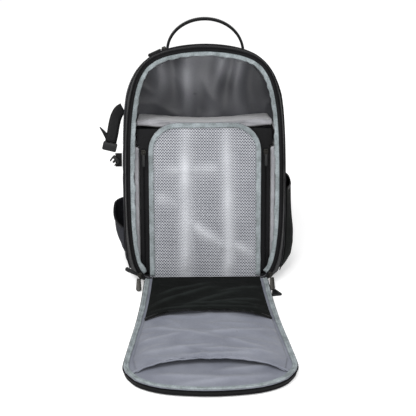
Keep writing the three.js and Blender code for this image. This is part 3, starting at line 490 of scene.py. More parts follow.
def paintHighlight(piece, amountAt):
    # painted highlight: how far each point's colour is mixed towards the finish's highlight colour, for the
    # cloth and mesh finishes
    layer = piece.data.attributes.new("paintedHighlight", "FLOAT", "POINT")
    layer.data.foreach_set("value", [min(1.0, max(0.0, amountAt(v.co))) for v in piece.data.vertices])


flatAngle, edgeAngle, sharpAngle = (math.radians(a) for a in (3, 25, 50))


def bevelled(node, finish, slot, width):
    # a moulded or cast piece: its own shape with rounded edges
    bm = cadCopy(node)
    bmesh.ops.dissolve_limit(bm, angle_limit=flatAngle, verts=bm.verts, edges=bm.edges)
    edges = [e for e in bm.edges if len(e.link_faces) == 2 and e.calc_face_angle() > edgeAngle]
    bmesh.ops.bevel(
        bm, geom=edges, offset=width * mm, segments=2, profile=0.5, affect="EDGES", material=-1,
        clamp_overlap=True,
    )
    bmesh.ops.triangulate(bm, faces=[f for f in bm.faces if len(f.verts) > 4])
    bmesh.ops.recalc_face_normals(bm, faces=bm.faces)
    piece = addPiece(node + "Moulded", bm, finish, slot, [node])
    piece.data.set_sharp_from_angle(angle=sharpAngle)


trees = {}


def rayTo(node, origin, direction):
    if node not in trees:
        bm = cadCopy(node)
        trees[node] = BVHTree.FromBMesh(bm)
        bm.free()
    return trees[node].ray_cast(origin, direction)[0]


def resampled(points, spacing):
    marks = [0.0]
    for a, b in zip(points, points[1:]):
        marks.append(marks[-1] + (b - a).length)
    count = max(2, round(marks[-1] / (spacing * mm)))
    out, k = [], 0
    for i in range(count + 1):
        want = marks[-1] * i / count
        while k < len(marks) - 2 and marks[k + 1] < want:
            k += 1
        share = (want - marks[k]) / max(marks[k + 1] - marks[k], 1e-9)
        out.append(points[k].lerp(points[k + 1], share))
    return out


def eased(points, times):
    for _ in range(times):
        inner = [p * 0.5 + (a + b) * 0.25 for a, p, b in zip(points, points[1:], points[2:])]
        points = [points[0], *inner, points[-1]]
    return points


def stationsOf(points, upAt):
    # each station is a place, the way across the path and the way up
    out = []
    for before, p, after in zip(points[:1] + points, points, points[1:] + points[-1:]):
        tangent = (after - before).normalized()
        up = (upAt(p) - tangent * upAt(p).dot(tangent)).normalized()
        out.append((p, tangent.cross(up), up))
    return out


def sweep(name, stations, profile, finish, slot, stands=(), shift=None):
    # a grid whose columns go round the profile (mm, across and up) and whose rows go along the path
    sides = len(profile)
    rows = len(stations)
    bm = bmesh.new()
    layer = bm.loops.layers.uv.new("UVMap")
    bmesh.ops.create_grid(bm, x_segments=sides, y_segments=rows - 1, size=0.5)
    girth = [0.0]
    for a, b in zip(profile, profile[1:] + profile[:1]):
        girth.append(girth[-1] + math.hypot(b[0] - a[0], b[1] - a[1]) * mm)
    length = [0.0]
    for a, b in zip(stations, stations[1:]):
        length.append(length[-1] + (b[0] - a[0]).length)
    spot = {v: (round((v.co.x + 0.5) * sides), round((v.co.y + 0.5) * (rows - 1))) for v in bm.verts}
    for face in bm.faces:
        for loop in face.loops:
            column, row = spot[loop.vert]
            loop[layer].uv = (girth[column], length[row])
    for v, (column, row) in spot.items():
        place, across, up = stations[row]
        a, b = profile[column % sides]
        extra = shift(length[row], a, b) if shift else (0, 0)
        v.co = place + across * (a + extra[0]) * mm + up * (b + extra[1]) * mm
        v.co.z = max(v.co.z, 0.0)
    bmesh.ops.remove_doubles(bm, verts=bm.verts, dist=0.005 * mm)
    bmesh.ops.holes_fill(bm, edges=[e for e in bm.edges if e.is_boundary])
    bmesh.ops.recalc_face_normals(bm, faces=bm.faces)
    return addPiece(name, bm, finish, slot, stands)


def roundProfile(radius, sides=8):
    turn = [2 * math.pi * i / sides for i in range(sides)]
    return [(radius * math.cos(a), radius * math.sin(a)) for a in turn]


def coil(name, stations, across, up, radius, pitch, wire, finish, slot):
    # the spiral of a nylon coil zip: one thin tube wound round the line beside the tape
    line = [place + side * across * mm + out * up * mm for place, side, out in stations]
    total = sum((b - a).length for a, b in zip(line, line[1:]))
    turn = 7  # points in one turn
    steps = max(12, int(total / (pitch * mm) * turn))
    curve = bpy.data.curves.new(name, "CURVE")
    curve.dimensions = "3D"
    curve.bevel_depth = wire * mm
    curve.bevel_resolution = 0
    curve.use_fill_caps = True
    spline = curve.splines.new("POLY")
    spline.points.add(steps)
    for i in range(steps + 1):
        at = i / steps * (len(line) - 1)
        k = min(int(at), len(line) - 2)
        middle = line[k].lerp(line[k + 1], at - k)
        side, out = stations[k][1], stations[k][2]
        angle = 2 * math.pi * i / turn
        p = middle + (side * math.cos(angle) + out * math.sin(angle)) * (radius - wire) * mm
        spline.points[i].co = (p.x, p.y, max(p.z, wire * mm), 1)
    made = bpy.data.objects.new(name, curve)
    mesh = bpy.data.meshes.new_from_object(made)
    bpy.data.objects.remove(made)
    bm = bmesh.new()
    bm.from_mesh(mesh)
    for layer in list(bm.loops.layers.uv):
        bm.loops.layers.uv.remove(layer)
    return addPiece(name, bm, finish, slot)


def stitches(name, stations, across, up, finish, slot, length=2.4, pitch=3.6, thick=0.35):
    # a row of thread: one small long bead for each stitch
    line = [place + side * across * mm + out * up * mm for place, side, out in stations]
    spots = resampled(line, pitch)
    bm = bmesh.new()
    for k, (a, b) in enumerate(zip(spots, spots[1:])):
        near = stations[min(len(stations) - 1, int(k / len(spots) * len(stations)))]
        tangent = (b - a).normalized()
        turn = Matrix((tangent, tangent.cross(near[2]).normalized(), near[2])).transposed().to_4x4()
        size = Matrix.Diagonal((length / 2 * mm, thick * mm, thick * 0.7 * mm, 1))
        bmesh.ops.create_icosphere(bm, subdivisions=1, radius=1, matrix=Matrix.Translation(a) @ turn @ size)
    return addPiece(name, bm, finish, slot)


def afterSoftening(piece, settings, pinned):
    # the pad's foam pushes its cover out: remeshed, blown up a little as cloth, then held to a limit
    scene = bpy.context.scene
    remesh = piece.modifiers.new("remesh", "REMESH")
    remesh.mode = "VOXEL"
    remesh.voxel_size = settings["voxel"] * mm
    remesh.use_smooth_shade = True
    mesh = bpy.data.meshes.new_from_object(piece.evaluated_get(bpy.context.evaluated_depsgraph_get()))
    piece.modifiers.clear()
    piece.data = mesh
    start = np.empty(len(mesh.vertices) * 3)
    mesh.vertices.foreach_get("co", start)
    normals = np.empty(len(mesh.vertices) * 3)
    mesh.vertices.foreach_get("normal", normals)
    hold = np.array([pinned(v.co) for v in mesh.vertices])
    free = np.repeat(1 - hold, 3)
    start = start - normals * free * settings["shrink"] * mm
    mesh.vertices.foreach_set("co", start)
    group = piece.vertex_groups.new(name="held")
    for i, weight in enumerate(hold):
        if weight > 0.01:
            group.add([i], float(weight), "REPLACE")
    cloth = piece.modifiers.new("cloth", "CLOTH")
    cloth.settings.use_pressure = True
    cloth.settings.uniform_pressure_force = settings["pressure"]
    cloth.settings.effector_weights.gravity = 0
    cloth.settings.quality = 4
    cloth.settings.mass = 0.3
    cloth.settings.tension_stiffness = 12
    cloth.settings.bending_stiffness = 0.4
    cloth.settings.vertex_group_mass = "held"
    cloth.collision_settings.use_collision = False
    cloth.point_cache.frame_start = 1
    cloth.point_cache.frame_end = 20
    for step in range(1, 21):
        scene.frame_set(step)
    blown = bpy.data.meshes.new_from_object(piece.evaluated_get(bpy.context.evaluated_depsgraph_get()))
    end = np.empty(len(start))
    blown.vertices.foreach_get("co", end)
    piece.modifiers.clear()
    piece.vertex_groups.clear()
    bpy.data.meshes.remove(blown)
    scene.frame_set(1)
    travel = (end - start).reshape(-1, 3)
    far = np.linalg.norm(travel, axis=1, keepdims=True)
    travel *= np.minimum(1, settings["cap"] * mm / np.maximum(far, 1e-9))
    start = (start.reshape(-1, 3) + travel).ravel()
    start[2::3] = np.maximum(start[2::3], 0)
    mesh.vertices.foreach_set("co", start)
    bm = bmesh.new()
    bm.from_mesh(mesh)
    bmesh.ops.subdivide_edges(bm, edges=bm.edges, cuts=1, use_grid_fill=True, smooth=0.6)
    for face in bm.faces:
        face.smooth = True
    bm.to_mesh(mesh)
    bm.free()
    mesh.update()
    unwrapByFacing(mesh, True)
    return piece


print("stage 4: tools")


# the rim of the body: gussets, zip, binding
bagFront = bagTurn(0, -1, 0)
rimSettings = {"depth": 0.4, "spacing": 4, "ease": 4, "foot": 1.5}


def bagOutline(depth, spacing, ease, lowest):
    # rays from all sides meet the gusset at this depth; the line runs from right over the top to left
    node = "zip_gusset" if depth < 0.022 else "side_gusset"
    points = []
    for i in range(480):
        angle = 2 * math.pi * i / 480 - math.pi / 2
        way = bagTurn(math.cos(angle), 0, math.sin(angle))
        hit = rayTo(node, fromBag(0, depth, bag["middle"]) + way * 0.5, -way)
        if hit:
            points.append(hit)
    points = [p for p in points if toBag(p).z > lowest * mm]
    return eased(resampled(points, spacing), ease)


def outwardAt(p):
    # away from the middle, square to the outline as far as the shape is round
    q = toBag(p)
    low, high = 0.06, 0.3
    return bagTurn(q.x, 0, q.z - min(max(q.z, low), high)).normalized()


rimPoints = bagOutline(
    rimSettings["depth"] * mm, rimSettings["spacing"], rimSettings["ease"], rimSettings["foot"]
)
rim = [toBag(p) for p in rimPoints]
rimStations = stationsOf([fromBag(q.x, 0, q.z) for q in rim], lambda p: bagFront)

bindingSettings = {
    "profile": [(-7.4, -2.9), (-15.6, -2.9), (-16.0, -1.4), (-15.3, 0.1), (-13.4, 0.6), (-11.6, 0.2),
                (-9.8, 0.65), (-8.0, 0.2), (-7.3, -1.2)],
    "waver": 2.6,
    "lift": 1.2,
}


def bindingShift(length, a, b):
    free = max(0.0, min(1.0, (-a - 8) / 8))
    waver = noise.noise(Vector((length * 45, 3.1, 0))) + 0.6 * noise.noise(Vector((length * 120, 7, 0)))
    lift = noise.noise(Vector((length * 95, a * 0.12, 5)))
    return (bindingSettings["waver"] * waver * free, bindingSettings["lift"] * lift * (b > -2))


sweep("rimBinding", rimStations, bindingSettings["profile"], "grosgrainMint", "binding_mint",
      ["body_binding"], shift=bindingShift)
stitches("rimBindingStitches", rimStations, -9.0, 0.55, "threadMint", "binding_mint")
sweep("rimZipTape", rimStations, [(-8, 0.3), (-8, 1.4), (-4, 1.6), (-0.3, 1.4), (-0.3, 0.3)], "zipTape",
      "zip_black", ["body_zip"])
coil("rimZipCoil", rimStations, -2.0, 3.1, 1.65, 2.0, 0.55, "zipTape", "zip_black")


def gussetMove(p, n):
    q = toBag(p)
    outer = max(0.0, n.dot(outwardAt(p)))
    sag = 0.5 + 0.5 * noise.noise(Vector((q.x * 12, q.y * 16, q.z * 12)))
    crease = abs(noise.noise(Vector((q.x * 30, q.y * 9 + q.z * 14, q.z * 24))))
    seam = min(1.0, abs(q.y - 0.0222) / 0.008)
    return -n * outer * seam * (1.6 * sag * sag + 0.9 * (1 - crease) ** 4) * mm


dress("zip_gusset", "zipGusset", "ballisticNylon", "shell_black", {"longest": 6, "relax": 2}, gussetMove)
gusset = dress("side_gusset", "sideGusset", "melangePolyester", "shell_charcoal", {"longest": 7, "relax": 2},
               gussetMove)

pipingSettings = {"lowest": 12, "radius": 1.5}
for name, depth in (("frontPiping", 0.0217), ("backPiping", 0.163)):
    line = bagOutline(depth, 5, 4, pipingSettings["lowest"])
    tube = [(a, b + 0.3) for a, b in roundProfile(pipingSettings["radius"])]
    sweep(name, stationsOf(line, outwardAt), tube, "ballisticNylon", "shell_black")
print("stage 5: rim and gussets")


# lining, shelf and padded walls
liningSettings = {
    "longest": 5.5,
    "waves": 60,      # mm between the folds that hang from the top
    "wave": 7.5,      # mm, how far they come forward
    "hang": 110,      # mm, how far down they reach
    "billow": 5.0,
}


def liningMove(p, n):
    q = toBag(p)
    away = min(1.0, max(0.0, (q.y - 0.008) / 0.04))
    middle = Vector((q.x * 0.2, 0.03, min(max(q.z, 0.1), 0.3)))
    step = middle - q
    inward = bagTurn(step.x, step.y, step.z).normalized()
    drop = max(0.0, 0.4 - q.z) / (liningSettings["hang"] * mm)
    wander = noise.noise(Vector((q.x * 10, q.z * 8, 1.7))) * 2.2
    wave = 0.5 + 0.5 * math.sin(2 * math.pi * q.x / (liningSettings["waves"] * mm) + 3 * wander)
    hanging = liningSettings["wave"] * wave * math.exp(-drop * drop)
    billow = liningSettings["billow"] * max(0.0, noise.noise(Vector((q.x * 14, q.y * 14, q.z * 11))) + 0.1)
    crease = 1.6 * (1 - abs(noise.noise(Vector((q.x * 20 + q.z * 12, q.y * 10, q.z * 16 - q.x * 9))))) ** 5
    return inward * away * (hanging + billow + crease) * mm


def liningHighlight(p):
    # painted highlight: the middle of the back below the round top, and the folds' crests most of all, are
    # painted paler, as light reaches them best
    q = toBag(p)
    spot = math.exp(-((q.x / 0.085) ** 2)) * math.exp(-(((q.z - 0.375) / 0.062) ** 2)) * (q.y > 0.1)
    wander = noise.noise(Vector((q.x * 10, q.z * 8, 1.7))) * 2.2
    wave = 0.5 + 0.5 * math.sin(2 * math.pi * q.x / (liningSettings["waves"] * mm) + 3 * wander)
    patch = 0.75 + 0.9 * noise.noise(Vector((q.x * 24, q.z * 20, 6)))
    return spot * patch * (0.55 + 0.6 * wave**2) + 0.1 * wave * (q.y > 0.1)


liningCloth = dress("lining", "liningCloth", "taffetaGrey", "lining_grey", liningSettings, liningMove)
paintHighlight(liningCloth, liningHighlight)

shelfSettings = {"voxel": 4, "shrink": 1.0, "pressure": 4, "cap": 3.5}
shelf = addPiece("shelfPad", cadCopy("shelf"), "brushedTricot", "padding_pale", ["shelf"])
afterSoftening(shelf, shelfSettings, lambda p: 1.0 if abs(p.x) > 0.1165 or toBag(p).y > 0.147 else 0.0)
for side in ("left", "right"):
    dress("shelf_tab_" + side, "shelfTab_" + side, "brushedTricot", "padding_pale",
          {"longest": 5, "relax": 1})

wallSettings = {"voxel": 3.2, "shrink": 0.8, "pressure": 3.5, "cap": 1.6}


def wallHeld(p):
    q = toBag(p)
    return 1.0 if q.z < 0.02 or abs(p.x) > 0.1262 or q.y > 0.13 else 0.0


for side in ("left", "right"):
    node = "insert_wall_" + side
    wall = addPiece("wallPad_" + side, cadCopy(node), "brushedTricot", "padding_pale", [node])
    afterSoftening(wall, wallSettings, wallHeld)
print("stage 6: lining, shelf and walls")


# the mesh flap with its zip
flapSettings = {
    "half": 100, "top": 283, "radius": 50, "foot": 2.5, "depth": 4.7,
    # from, to (x and height, mm), width and rise of each fold
    "folds": [
        ((-36, -60), (-34, 290), 8, 4.5),
        ((43, -50), (40, 290), 7, 4.5),
        ((-90, 196), (30, 200), 7, 2.5),
        ((-28, 102), (42, 48), 7, 3.0),
        ((45, 62), (92, 38), 7, 2.2),
        ((-90, 150), (-40, 128), 8, 1.8),
    ],
}


def flapMove(p, n):
    q = toBag(p)
    spot = (q.x / mm, q.z / mm)
    rise = sum(high * ridge(spot, a, b, width) for a, b, width, high in flapSettings["folds"])
    rise += 1.2 * noise.noise(Vector((q.x * 16, 2, q.z * 13)))
    edge = min(1.0, max(0.0, (0.092 - abs(q.x)) / 0.02)) * min(1.0, max(0.0, (0.275 - q.z) / 0.02))
    edge *= min(1.0, max(0.0, (q.z + 0.002) / 0.02))
    return bagFront * edge * max(-2.0, rise) * mm


# partly painted highlight: the flap is paler along its folds' crests, where the knit is stretched and where
# light falls
def flapHighlight(p):
    q = toBag(p)
    spot = (q.x / mm, q.z / mm)
    band = max(high / 4.5 * ridge(spot, a, b, width * 1.5) for a, b, width, high in flapSettings["folds"])
    return 0.62 * band * (0.7 + 0.6 * noise.noise(Vector((q.x * 25, 4, q.z * 18))))


flap = dress("mesh_flap", "flapMesh", "spacerMeshWhite", "mesh_pale", {"longest": 5}, flapMove)
paintHighlight(flap, flapHighlight)


def flapLine(settings, count=12):
    half, top, radius = settings["half"], settings["top"], settings["radius"]
    line = [(half, settings["foot"])]
    for side, start in ((1, 0), (-1, math.pi / 2)):
        for i in range(count + 1):
            angle = start + math.pi / 2 * i / count
            across = side * (half - radius) + radius * math.cos(angle)
            line.append((across, top - radius + radius * math.sin(angle)))
    line.append((-half, settings["foot"]))
    return [fromBag(x * mm, settings["depth"] * mm, h * mm) for x, h in line]


flapStations = stationsOf(eased(resampled(flapLine(flapSettings), 4), 1), lambda p: bagFront)
flapBindingSettings = {
    "profile": [(0.1, 0.1), (0.2, 1.6), (-0.9, 2.7), (-2.4, 2.9), (-3.8, 2.2), (-5.2, 2.7), (-7.0, 2.6),
                (-8.5, 1.5), (-8.5, 0.1)],
    "waver": 0.35,
}


def flapBindingShift(length, a, b):
    return (flapBindingSettings["waver"] * noise.noise(Vector((length * 50, a, 9))), 0)


sweep("flapBinding", flapStations, flapBindingSettings["profile"], "grosgrainMint", "binding_mint",
      ["flap_binding"], shift=flapBindingShift)
stitches("flapBindingStitches", flapStations, -4.0, 2.3, "threadMint", "binding_mint")
dress("flap_frame", "flapFrame", "zipTape", "webbing_black", {"longest": 8})
flapZipSettings = {"across": 109, "foot": 4, "top": 226, "depth": 10.2}
for side, name in ((-1, "left"), (1, "right")):
    line = [
        fromBag(side * flapZipSettings["across"] * mm, flapZipSettings["depth"] * mm, h * mm)
        for h in range(flapZipSettings["foot"], flapZipSettings["top"], 6)
    ]
    coil("flapZipCoil_" + name, stationsOf(line, lambda p: bagFront), 0, 1.4, 1.5, 2.0, 0.5, "zipTape",
         "zip_black")
    bevelled("flap_slider_" + name, "platedZinc", "metal_grey", 0.5)
    bevelled("flap_pull_" + name, "acetalBlack", "plastic_black", 0.5)
print("stage 7: flap")


# the door on the floor
doorSettings = {"inset": 2.2, "level": 0.0065, "centre": (0.0015, -0.3), "start": -0.0895}


def doorOutline(spacing=4, ease=3):
    # from the left end of the hinge round the tip to the right end
    points = []
    centre = Vector((*doorSettings["centre"], doorSettings["level"]))
    for i in range(480):
        angle = math.pi / 2 + 2 * math.pi * i / 480
        way = Vector((math.cos(angle), math.sin(angle), 0))
        hit = rayTo("door_panel", centre + way * 0.6, -way)
        if hit and hit.y < doorSettings["start"]:
            points.append(Vector((hit.x, hit.y, 0)))
    points = eased(resampled(points, spacing), ease)
    first = points[0] + (points[0] - points[1]) * 0.1
    last = points[-1] + (points[-1] - points[-2]) * 0.1
    points = [first, *points, last]
    moved = stationsOf(points, lambda p: Vector((0, 0, 1)))
    return stationsOf([p + across * doorSettings["inset"] * mm for p, across, up in moved],
                      lambda p: Vector((0, 0, 1)))


doorStations = doorOutline()


def doorEdge(p):
    # how far inside the door's outline a point lies, in metres
    return min((s[0].xy - p.xy).length for s in doorStations[::2])


def doorPanelMove(p, n):
    level = max(0.0, 1 - n.z**2)
    return -n * level * (0.5 + 0.5 * noise.noise(p * 30)) * 0.6 * mm


panel = dress("door_panel", "doorPanel", "ballisticNylon", "shell_black", {"longest": 7, "relax": 1},
              doorPanelMove, isLeaning=False)
sweep("doorPiping", doorStations, [(a - 2.0, b + 3.6) for a, b in roundProfile(1.5)], "ballisticNylon",
      "shell_black")
sweep("doorZipTape", doorStations, [(-1.9, 5.5), (-0.8, 5.5), (-0.7, 13.0), (-1.9, 13.2)], "zipTape",
      "zip_black", ["door_zip"])
coil("doorZipCoil", doorStations, 0.6, 11.3, 1.65, 2.0, 0.55, "zipTape", "zip_black")

doorBindingSettings = {
    "profile": [(-0.1, 14.9), (0.1, 16.2), (-1.2, 17.6), (-2.6, 17.8), (-3.9, 16.9), (-4.4, 15.8),
                (-5.1, 16.7), (-7.0, 16.9), (-8.2, 16.2), (-8.3, 14.9)],
    "waver": 0.8,
}


def doorBindingShift(length, a, b):
    free = -a / 8.3
    return (doorBindingSettings["waver"] * free * noise.noise(Vector((length * 30, 1, 2))),
            0.35 * noise.noise(Vector((length * 70, a * 0.2, 4))) * (b > 16))


sweep("doorBinding", doorStations, doorBindingSettings["profile"], "grosgrainMint", "binding_mint",
      ["door_binding"], shift=doorBindingShift)
stitches("doorBindingStitches", doorStations, -6.4, 16.95, "threadMint", "binding_mint")

doorLiningSettings = {
    "longest": 6,
    # from, to (x, y in mm), width and rise
    "folds": [
        ((-95, -452), (70, -470), 10, 2.6),
        ((-60, -485), (95, -455), 9, 2.2),
        ((10, -440), (110, -420), 8, 2.0),
    ],
}


def doorLiningMove(p, n):
    spot = (p.x / mm, p.y / mm)
    rise = sum(high * ridge(spot, a, b, width) for a, b, width, high in doorLiningSettings["folds"])
    rise += 1.3 * max(0.0, noise.noise(Vector((p.x * 22, p.y * 30, 3))))
    free = min(1.0, max(0.0, (doorEdge(p) - 0.014) / 0.014)) * (p.y < -0.34)
    return Vector((0, 0, free * rise * mm))


doorLining = dress("door_lining", "doorLining", "taffetaBlueGrey", "lining_pale", doorLiningSettings,
                   doorLiningMove, isLeaning=False)

pocketSettings = {
    "longest": 5.5,
    "reach": 327, "dip": 29, "lift": 10, "low": 14.8, "room": 123.8,
    "folds": [
        ((-100, -300), (20, -345), 8, 2.6),
        ((-10, -330), (110, -310), 8, 2.4),
        ((-110, -392), (10, -372), 7, 2.6),
        ((-20, -384), (112, -396), 6, 2.6),
        ((30, -350), (95, -385), 6, 2.4),
        ((-115, -350), (-40, -330), 7, 2.2),
        ((-60, -410), (80, -402), 6, 1.8),
    ],
}
netSettings = {
    "longest": 5,
    "reach": 165, "dip": 11, "lift": 13, "low": 17.5, "room": 108.1,
    "folds": [
        ((-95, -225), (20, -150), 8, 3.0),
        ((-85, -180), (10, -130), 7, 2.4),
        ((-40, -240), (60, -170), 8, 2.6),
        ((0, -235), (95, -200), 7, 2.4),
        ((20, -180), (98, -140), 7, 2.0),
        ((-104, -244), (104, -242), 4, 2.6),
        ((-60, -232), (104, -226), 3.5, 2.0),
    ],
}
doorBack = -0.0919


def mouthLine(settings, spacing=5, out=0.0, up=0.0):
    # the pocket's open edge, further from the hinge at its sides
    line = []
    for i in range(61):
        share = 2 * i / 60 - 1
        reach = settings["reach"] + settings["dip"] * abs(share) ** 2.2
        rise = settings["lift"] * (1 - share**4)
        line.append(Vector((0.0015 + share * settings["room"] * mm,
                            -0.0889 - (reach + out) * mm,
                            (settings["low"] + 1.5 + rise + up) * mm)))
    return resampled(line, spacing)


def pocketMove(settings, wrinkle, gather):
    def move(p, n):
        spot = (p.x / mm, p.y / mm)
        rise = sum(high * ridge(spot, a, b, width) for a, b, width, high in settings["folds"])
        rise += wrinkle * (1 - abs(noise.noise(Vector((p.x * 16 + p.y * 14, p.y * 34, 8))))) ** 4
        share = min(1.0, abs(p.x - 0.0015) / (settings["room"] * mm))
        mouth = (-0.0889 - p.y) / mm - settings["reach"] - settings["dip"] * share**2.2
        hem = math.exp(-((mouth / 16) ** 2))
        pleat = gather * hem * noise.noise(Vector((p.x * 75, p.y * 8, 2)))
        free = min(1.0, (1 - share) / 0.12) * min(1.0, max(0.0, (doorBack - p.y) / 0.03))
        return Vector((0, 0, free * (rise + pleat) * mm))
    return move


pocket = dress("door_pocket", "doorPocket", "taffetaBlueGrey", "lining_pale", pocketSettings,
               pocketMove(pocketSettings, 2.4, 3.4), isLeaning=False)
net = dress("door_mesh_pocket", "doorNetPocket", "stretchNetBlack", "mesh_black", netSettings,
            pocketMove(netSettings, 2.2, 1.2), isLeaning=False)


# painted highlight: the fold crests of the door lining, pocket and net are painted paler
def foldHighlight(settings, amount):
    def paintedHighlight(p):
        spot = (p.x / mm, p.y / mm)
        return amount * max(ridge(spot, a, b, width * 0.6) for a, b, width, high in settings["folds"])
    return paintedHighlight


paintHighlight(doorLining, foldHighlight(doorLiningSettings, 0.3))
paintHighlight(pocket, foldHighlight(pocketSettings, 0.34))
paintHighlight(net, foldHighlight(netSettings, 0.6))


def hemShift(length, a, b):
    return (0.9 * noise.noise(Vector((length * 60, 0, 1))), 1.2 * noise.noise(Vector((length * 75, 0, 2))))


upwards = Vector((0, 0, 1))
hemStations = stationsOf(mouthLine(pocketSettings, 4, -1.0, -0.8), lambda p: upwards)
sweep("doorPocketHem", hemStations, [(a * 1.6, b) for a, b in roundProfile(1.7)], "taffetaBlueGrey",
      "lining_pale", shift=hemShift)
netStations = stationsOf(mouthLine(netSettings, 4, -3.0, -0.8), lambda p: upwards)
sweep("doorNetHem", netStations, [(a * 3.4, b) for a, b in roundProfile(1.3)], "nylonWebbing", "mesh_black",
      shift=hemShift)
dress("hinge_strip", "hingeStrip", "grosgrainMint", "binding_mint", {"longest": 3, "relax": 1},
      isLeaning=False)
print("stage 8: door")


# handle, side strap and buckle
handleSettings = {"centre": (4, 372), "depth": 146, "width": 25, "thickness": 2.6}


def handleLine():
    x0, h0 = handleSettings["centre"]
    points = []
    for i in range(3, 118):
        angle = math.pi * i / 120
        way = bagTurn(math.cos(angle), 0, math.sin(angle))
        origin = fromBag(x0 * mm, handleSettings["depth"] * mm, h0 * mm)
        hit = rayTo("carry_handle", origin + way * 0.2, -way)
        if hit:
            points.append(hit - way * 1.5 * mm)
    return eased(resampled(points, 4), 3)


handleCentre = fromBag(handleSettings["centre"][0] * mm, handleSettings["depth"] * mm,
                       handleSettings["centre"][1] * mm)
handleStations = stationsOf(handleLine(), lambda p: (p - handleCentre).normalized())
webProfile = [(-12.2, -1.1), (-6, -1.4), (6, -1.4), (12.2, -1.1), (12.6, 0), (12.2, 1.1), (6, 1.5), (-6, 1.5),
              (-12.2, 1.1), (-12.6, 0)]
loopProfile = [(a, b * 1.7) for a, b in webProfile]
sweep("carryHandle", handleStations, loopProfile, "nylonWebbing", "webbing_black", ["carry_handle"])
for edge in (-9.5, 9.5):
    stitches("handleStitches_" + ("front" if edge < 0 else "back"), handleStations, edge, 2.3, "threadBlack",
             "webbing_black")

strapSettings = {
    "line": [(0, 0), (7.5, 3.5), (14, 17), (17.5, 32), (20, 47), (23.8, 62.5)],
    "depth": 68, "height": 299,
    "tail": [(25, 62), (30, 52), (36, 43), (43, 34)],
}


def strapLine(points, spacing):
    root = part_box("side_strap")[1].x
    line = [
        fromBag(root - out * mm, strapSettings["depth"] * mm, (strapSettings["height"] - down) * mm)
        for out, down in points
    ]
    return eased(resampled(line, spacing), 3)


strapStations = stationsOf(strapLine(strapSettings["line"], 3), lambda p: bagFront)
sweep("sideStrap", strapStations, [(a * 0.84, b * 0.65) for a, b in webProfile], "nylonWebbing",
      "webbing_black", ["side_strap"])
tailStations = stationsOf(strapLine(strapSettings["tail"], 2), lambda p: bagFront)
tailLength = (len(tailStations) - 1) * 2 * mm


def tailShift(length, a, b):
    return (-a * 0.85 * min(1.0, length / tailLength) ** 1.5, 0)


sweep("sideStrapTail", tailStations, [(a * 0.42, b * 0.6) for a, b in webProfile], "nylonWebbing",
      "webbing_black", shift=tailShift)
dress("buckle_tab", "buckleTab", "nylonWebbing", "webbing_black", {"longest": 3})
for node in ("buckle_socket", "buckle_plug"):
    bevelled(node, "acetalBlack", "plastic_black", 0.6)
print("stage 9: handle and buckle")


# side pockets
sidePockets = {
    "left": {"front": 34, "back": 150, "rim": 115, "drop": 30, "cloth": "melangePolyester",
             "slot": "shell_charcoal", "hem": "ballisticNylon", "folds": 1.8, "flat": (0.13, 0.09),
             "area": 0.0085},
    "right": {"front": 30, "back": 150, "rim": 163, "drop": 6, "cloth": "stretchNetBlack",
              "slot": "mesh_black", "hem": "nylonWebbing", "folds": 1.2, "flat": (0.165, 0.15),
              "area": 0.021},
}


def sidePocket(name, settings):
    side = -1 if name == "left" else 1

    def move(p, n):
        q = toBag(p)
        edge = min(1.0, max(0.0, min(q.y / mm - settings["front"], settings["back"] - q.y / mm) / 14))
        fold = 1 - abs(noise.noise(Vector((3, q.y * 18 + q.z * 7, q.z * 16))))
        return Vector((-side, 0, 0)) * edge * settings["folds"] * fold**3 * mm

    cloth = dress("pocket_" + name, "sidePocket_" + name, settings["cloth"], settings["slot"],
                  {"longest": 5, "relax": 1}, move)
    line = []
    for i in range(41):
        share = i / 40
        depth = settings["front"] + (settings["back"] - settings["front"]) * share
        height = settings["rim"] - settings["drop"] * (1 - min(1, share * 1.6)) - 2.0
        hit = rayTo("pocket_" + name, fromBag(side * 0.25, depth * mm, height * mm), Vector((-side, 0, 0)))
        if hit:
            line.append(hit + Vector((-side * 0.9 * mm, 0, 0)))
    outward = Vector((side, 0, 0))
    stations = stationsOf(eased(resampled(line, 4), 2), lambda p: outward)
    sweep("sidePocketHem_" + name, stations, [(a * 2.2, b) for a, b in roundProfile(1.5)], settings["hem"],
          settings["slot"])


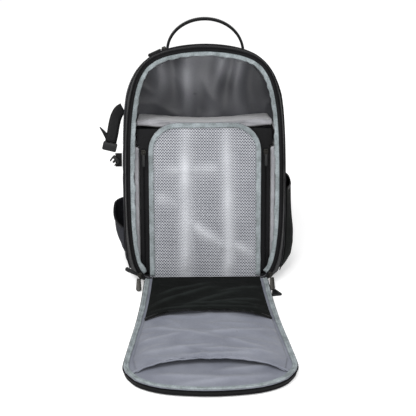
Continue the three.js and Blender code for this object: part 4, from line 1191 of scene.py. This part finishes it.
for name, settings in sidePockets.items():
    sidePocket(name, settings)
print("stage 10: side pockets")


# the back: pad, shoulder straps and their webbing
backSettings = {"voxel": 4.5, "shrink": 0.5, "pressure": 5, "cap": 4.0,
                # seams of the pad: x or height in mm
                "upright": [-52, 52], "level": [70, 150, 235, 315], "seam": 3.5}


def backHeld(p):
    q = toBag(p)
    if q.y < 0.1735 or abs(q.x) > 0.13 or q.z < 0.03:
        return 1.0
    near = min([abs(q.x / mm - x) for x in backSettings["upright"]]
               + [abs(q.z / mm - h) for h in backSettings["level"]])
    return 1.0 if near < backSettings["seam"] else 0.0


back = addPiece("backPad", cadCopy("back_panel"), "airMeshBlack", "shell_black", ["back_panel"])
afterSoftening(back, backSettings, backHeld)
shoulderSettings = {"voxel": 3.8, "shrink": 0.6, "pressure": 5, "cap": 2.5}
for side in ("left", "right"):
    node = "shoulder_strap_" + side
    strap = addPiece("shoulderStrap_" + side, cadCopy(node), "ballisticNylon", "strap_pad", [node])
    foot, top = (corner.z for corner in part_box(node))
    afterSoftening(strap, shoulderSettings, lambda p: 1.0 if p.z > top - 0.012 or p.z < foot + 0.01 else 0.0)
    dress("strap_webbing_" + side, "strapWebbing_" + side, "nylonWebbing", "webbing_black", {"longest": 6})
    bevelled("ladder_lock_" + side, "acetalBlack", "plastic_black", 0.5)
dress("back_zip", "backZipTape", "zipTape", "zip_black", {"longest": 6})
backZipLine = bagOutline(0.118, 5, 4, 222)
coil("backZipCoil", stationsOf(backZipLine, outwardAt), 0, 1.7, 1.3, 2.0, 0.45, "zipTape", "zip_black")
print("stage 11: back")


# sliders, tabs and grips of the main zip
for side in ("left", "right"):
    bevelled("door_slider_" + side, "platedZinc", "metal_grey", 0.5)
    bevelled("door_tab_" + side, "platedZinc", "metal_grey", 0.5)
    bevelled("door_grip_" + side, "acetalBlack", "plastic_black", 0.6)
bevelled("top_slider", "platedZinc", "metal_grey", 0.5)
bevelled("top_grip", "acetalBlack", "plastic_black", 0.6)
print("stage 12: sliders and pulls")
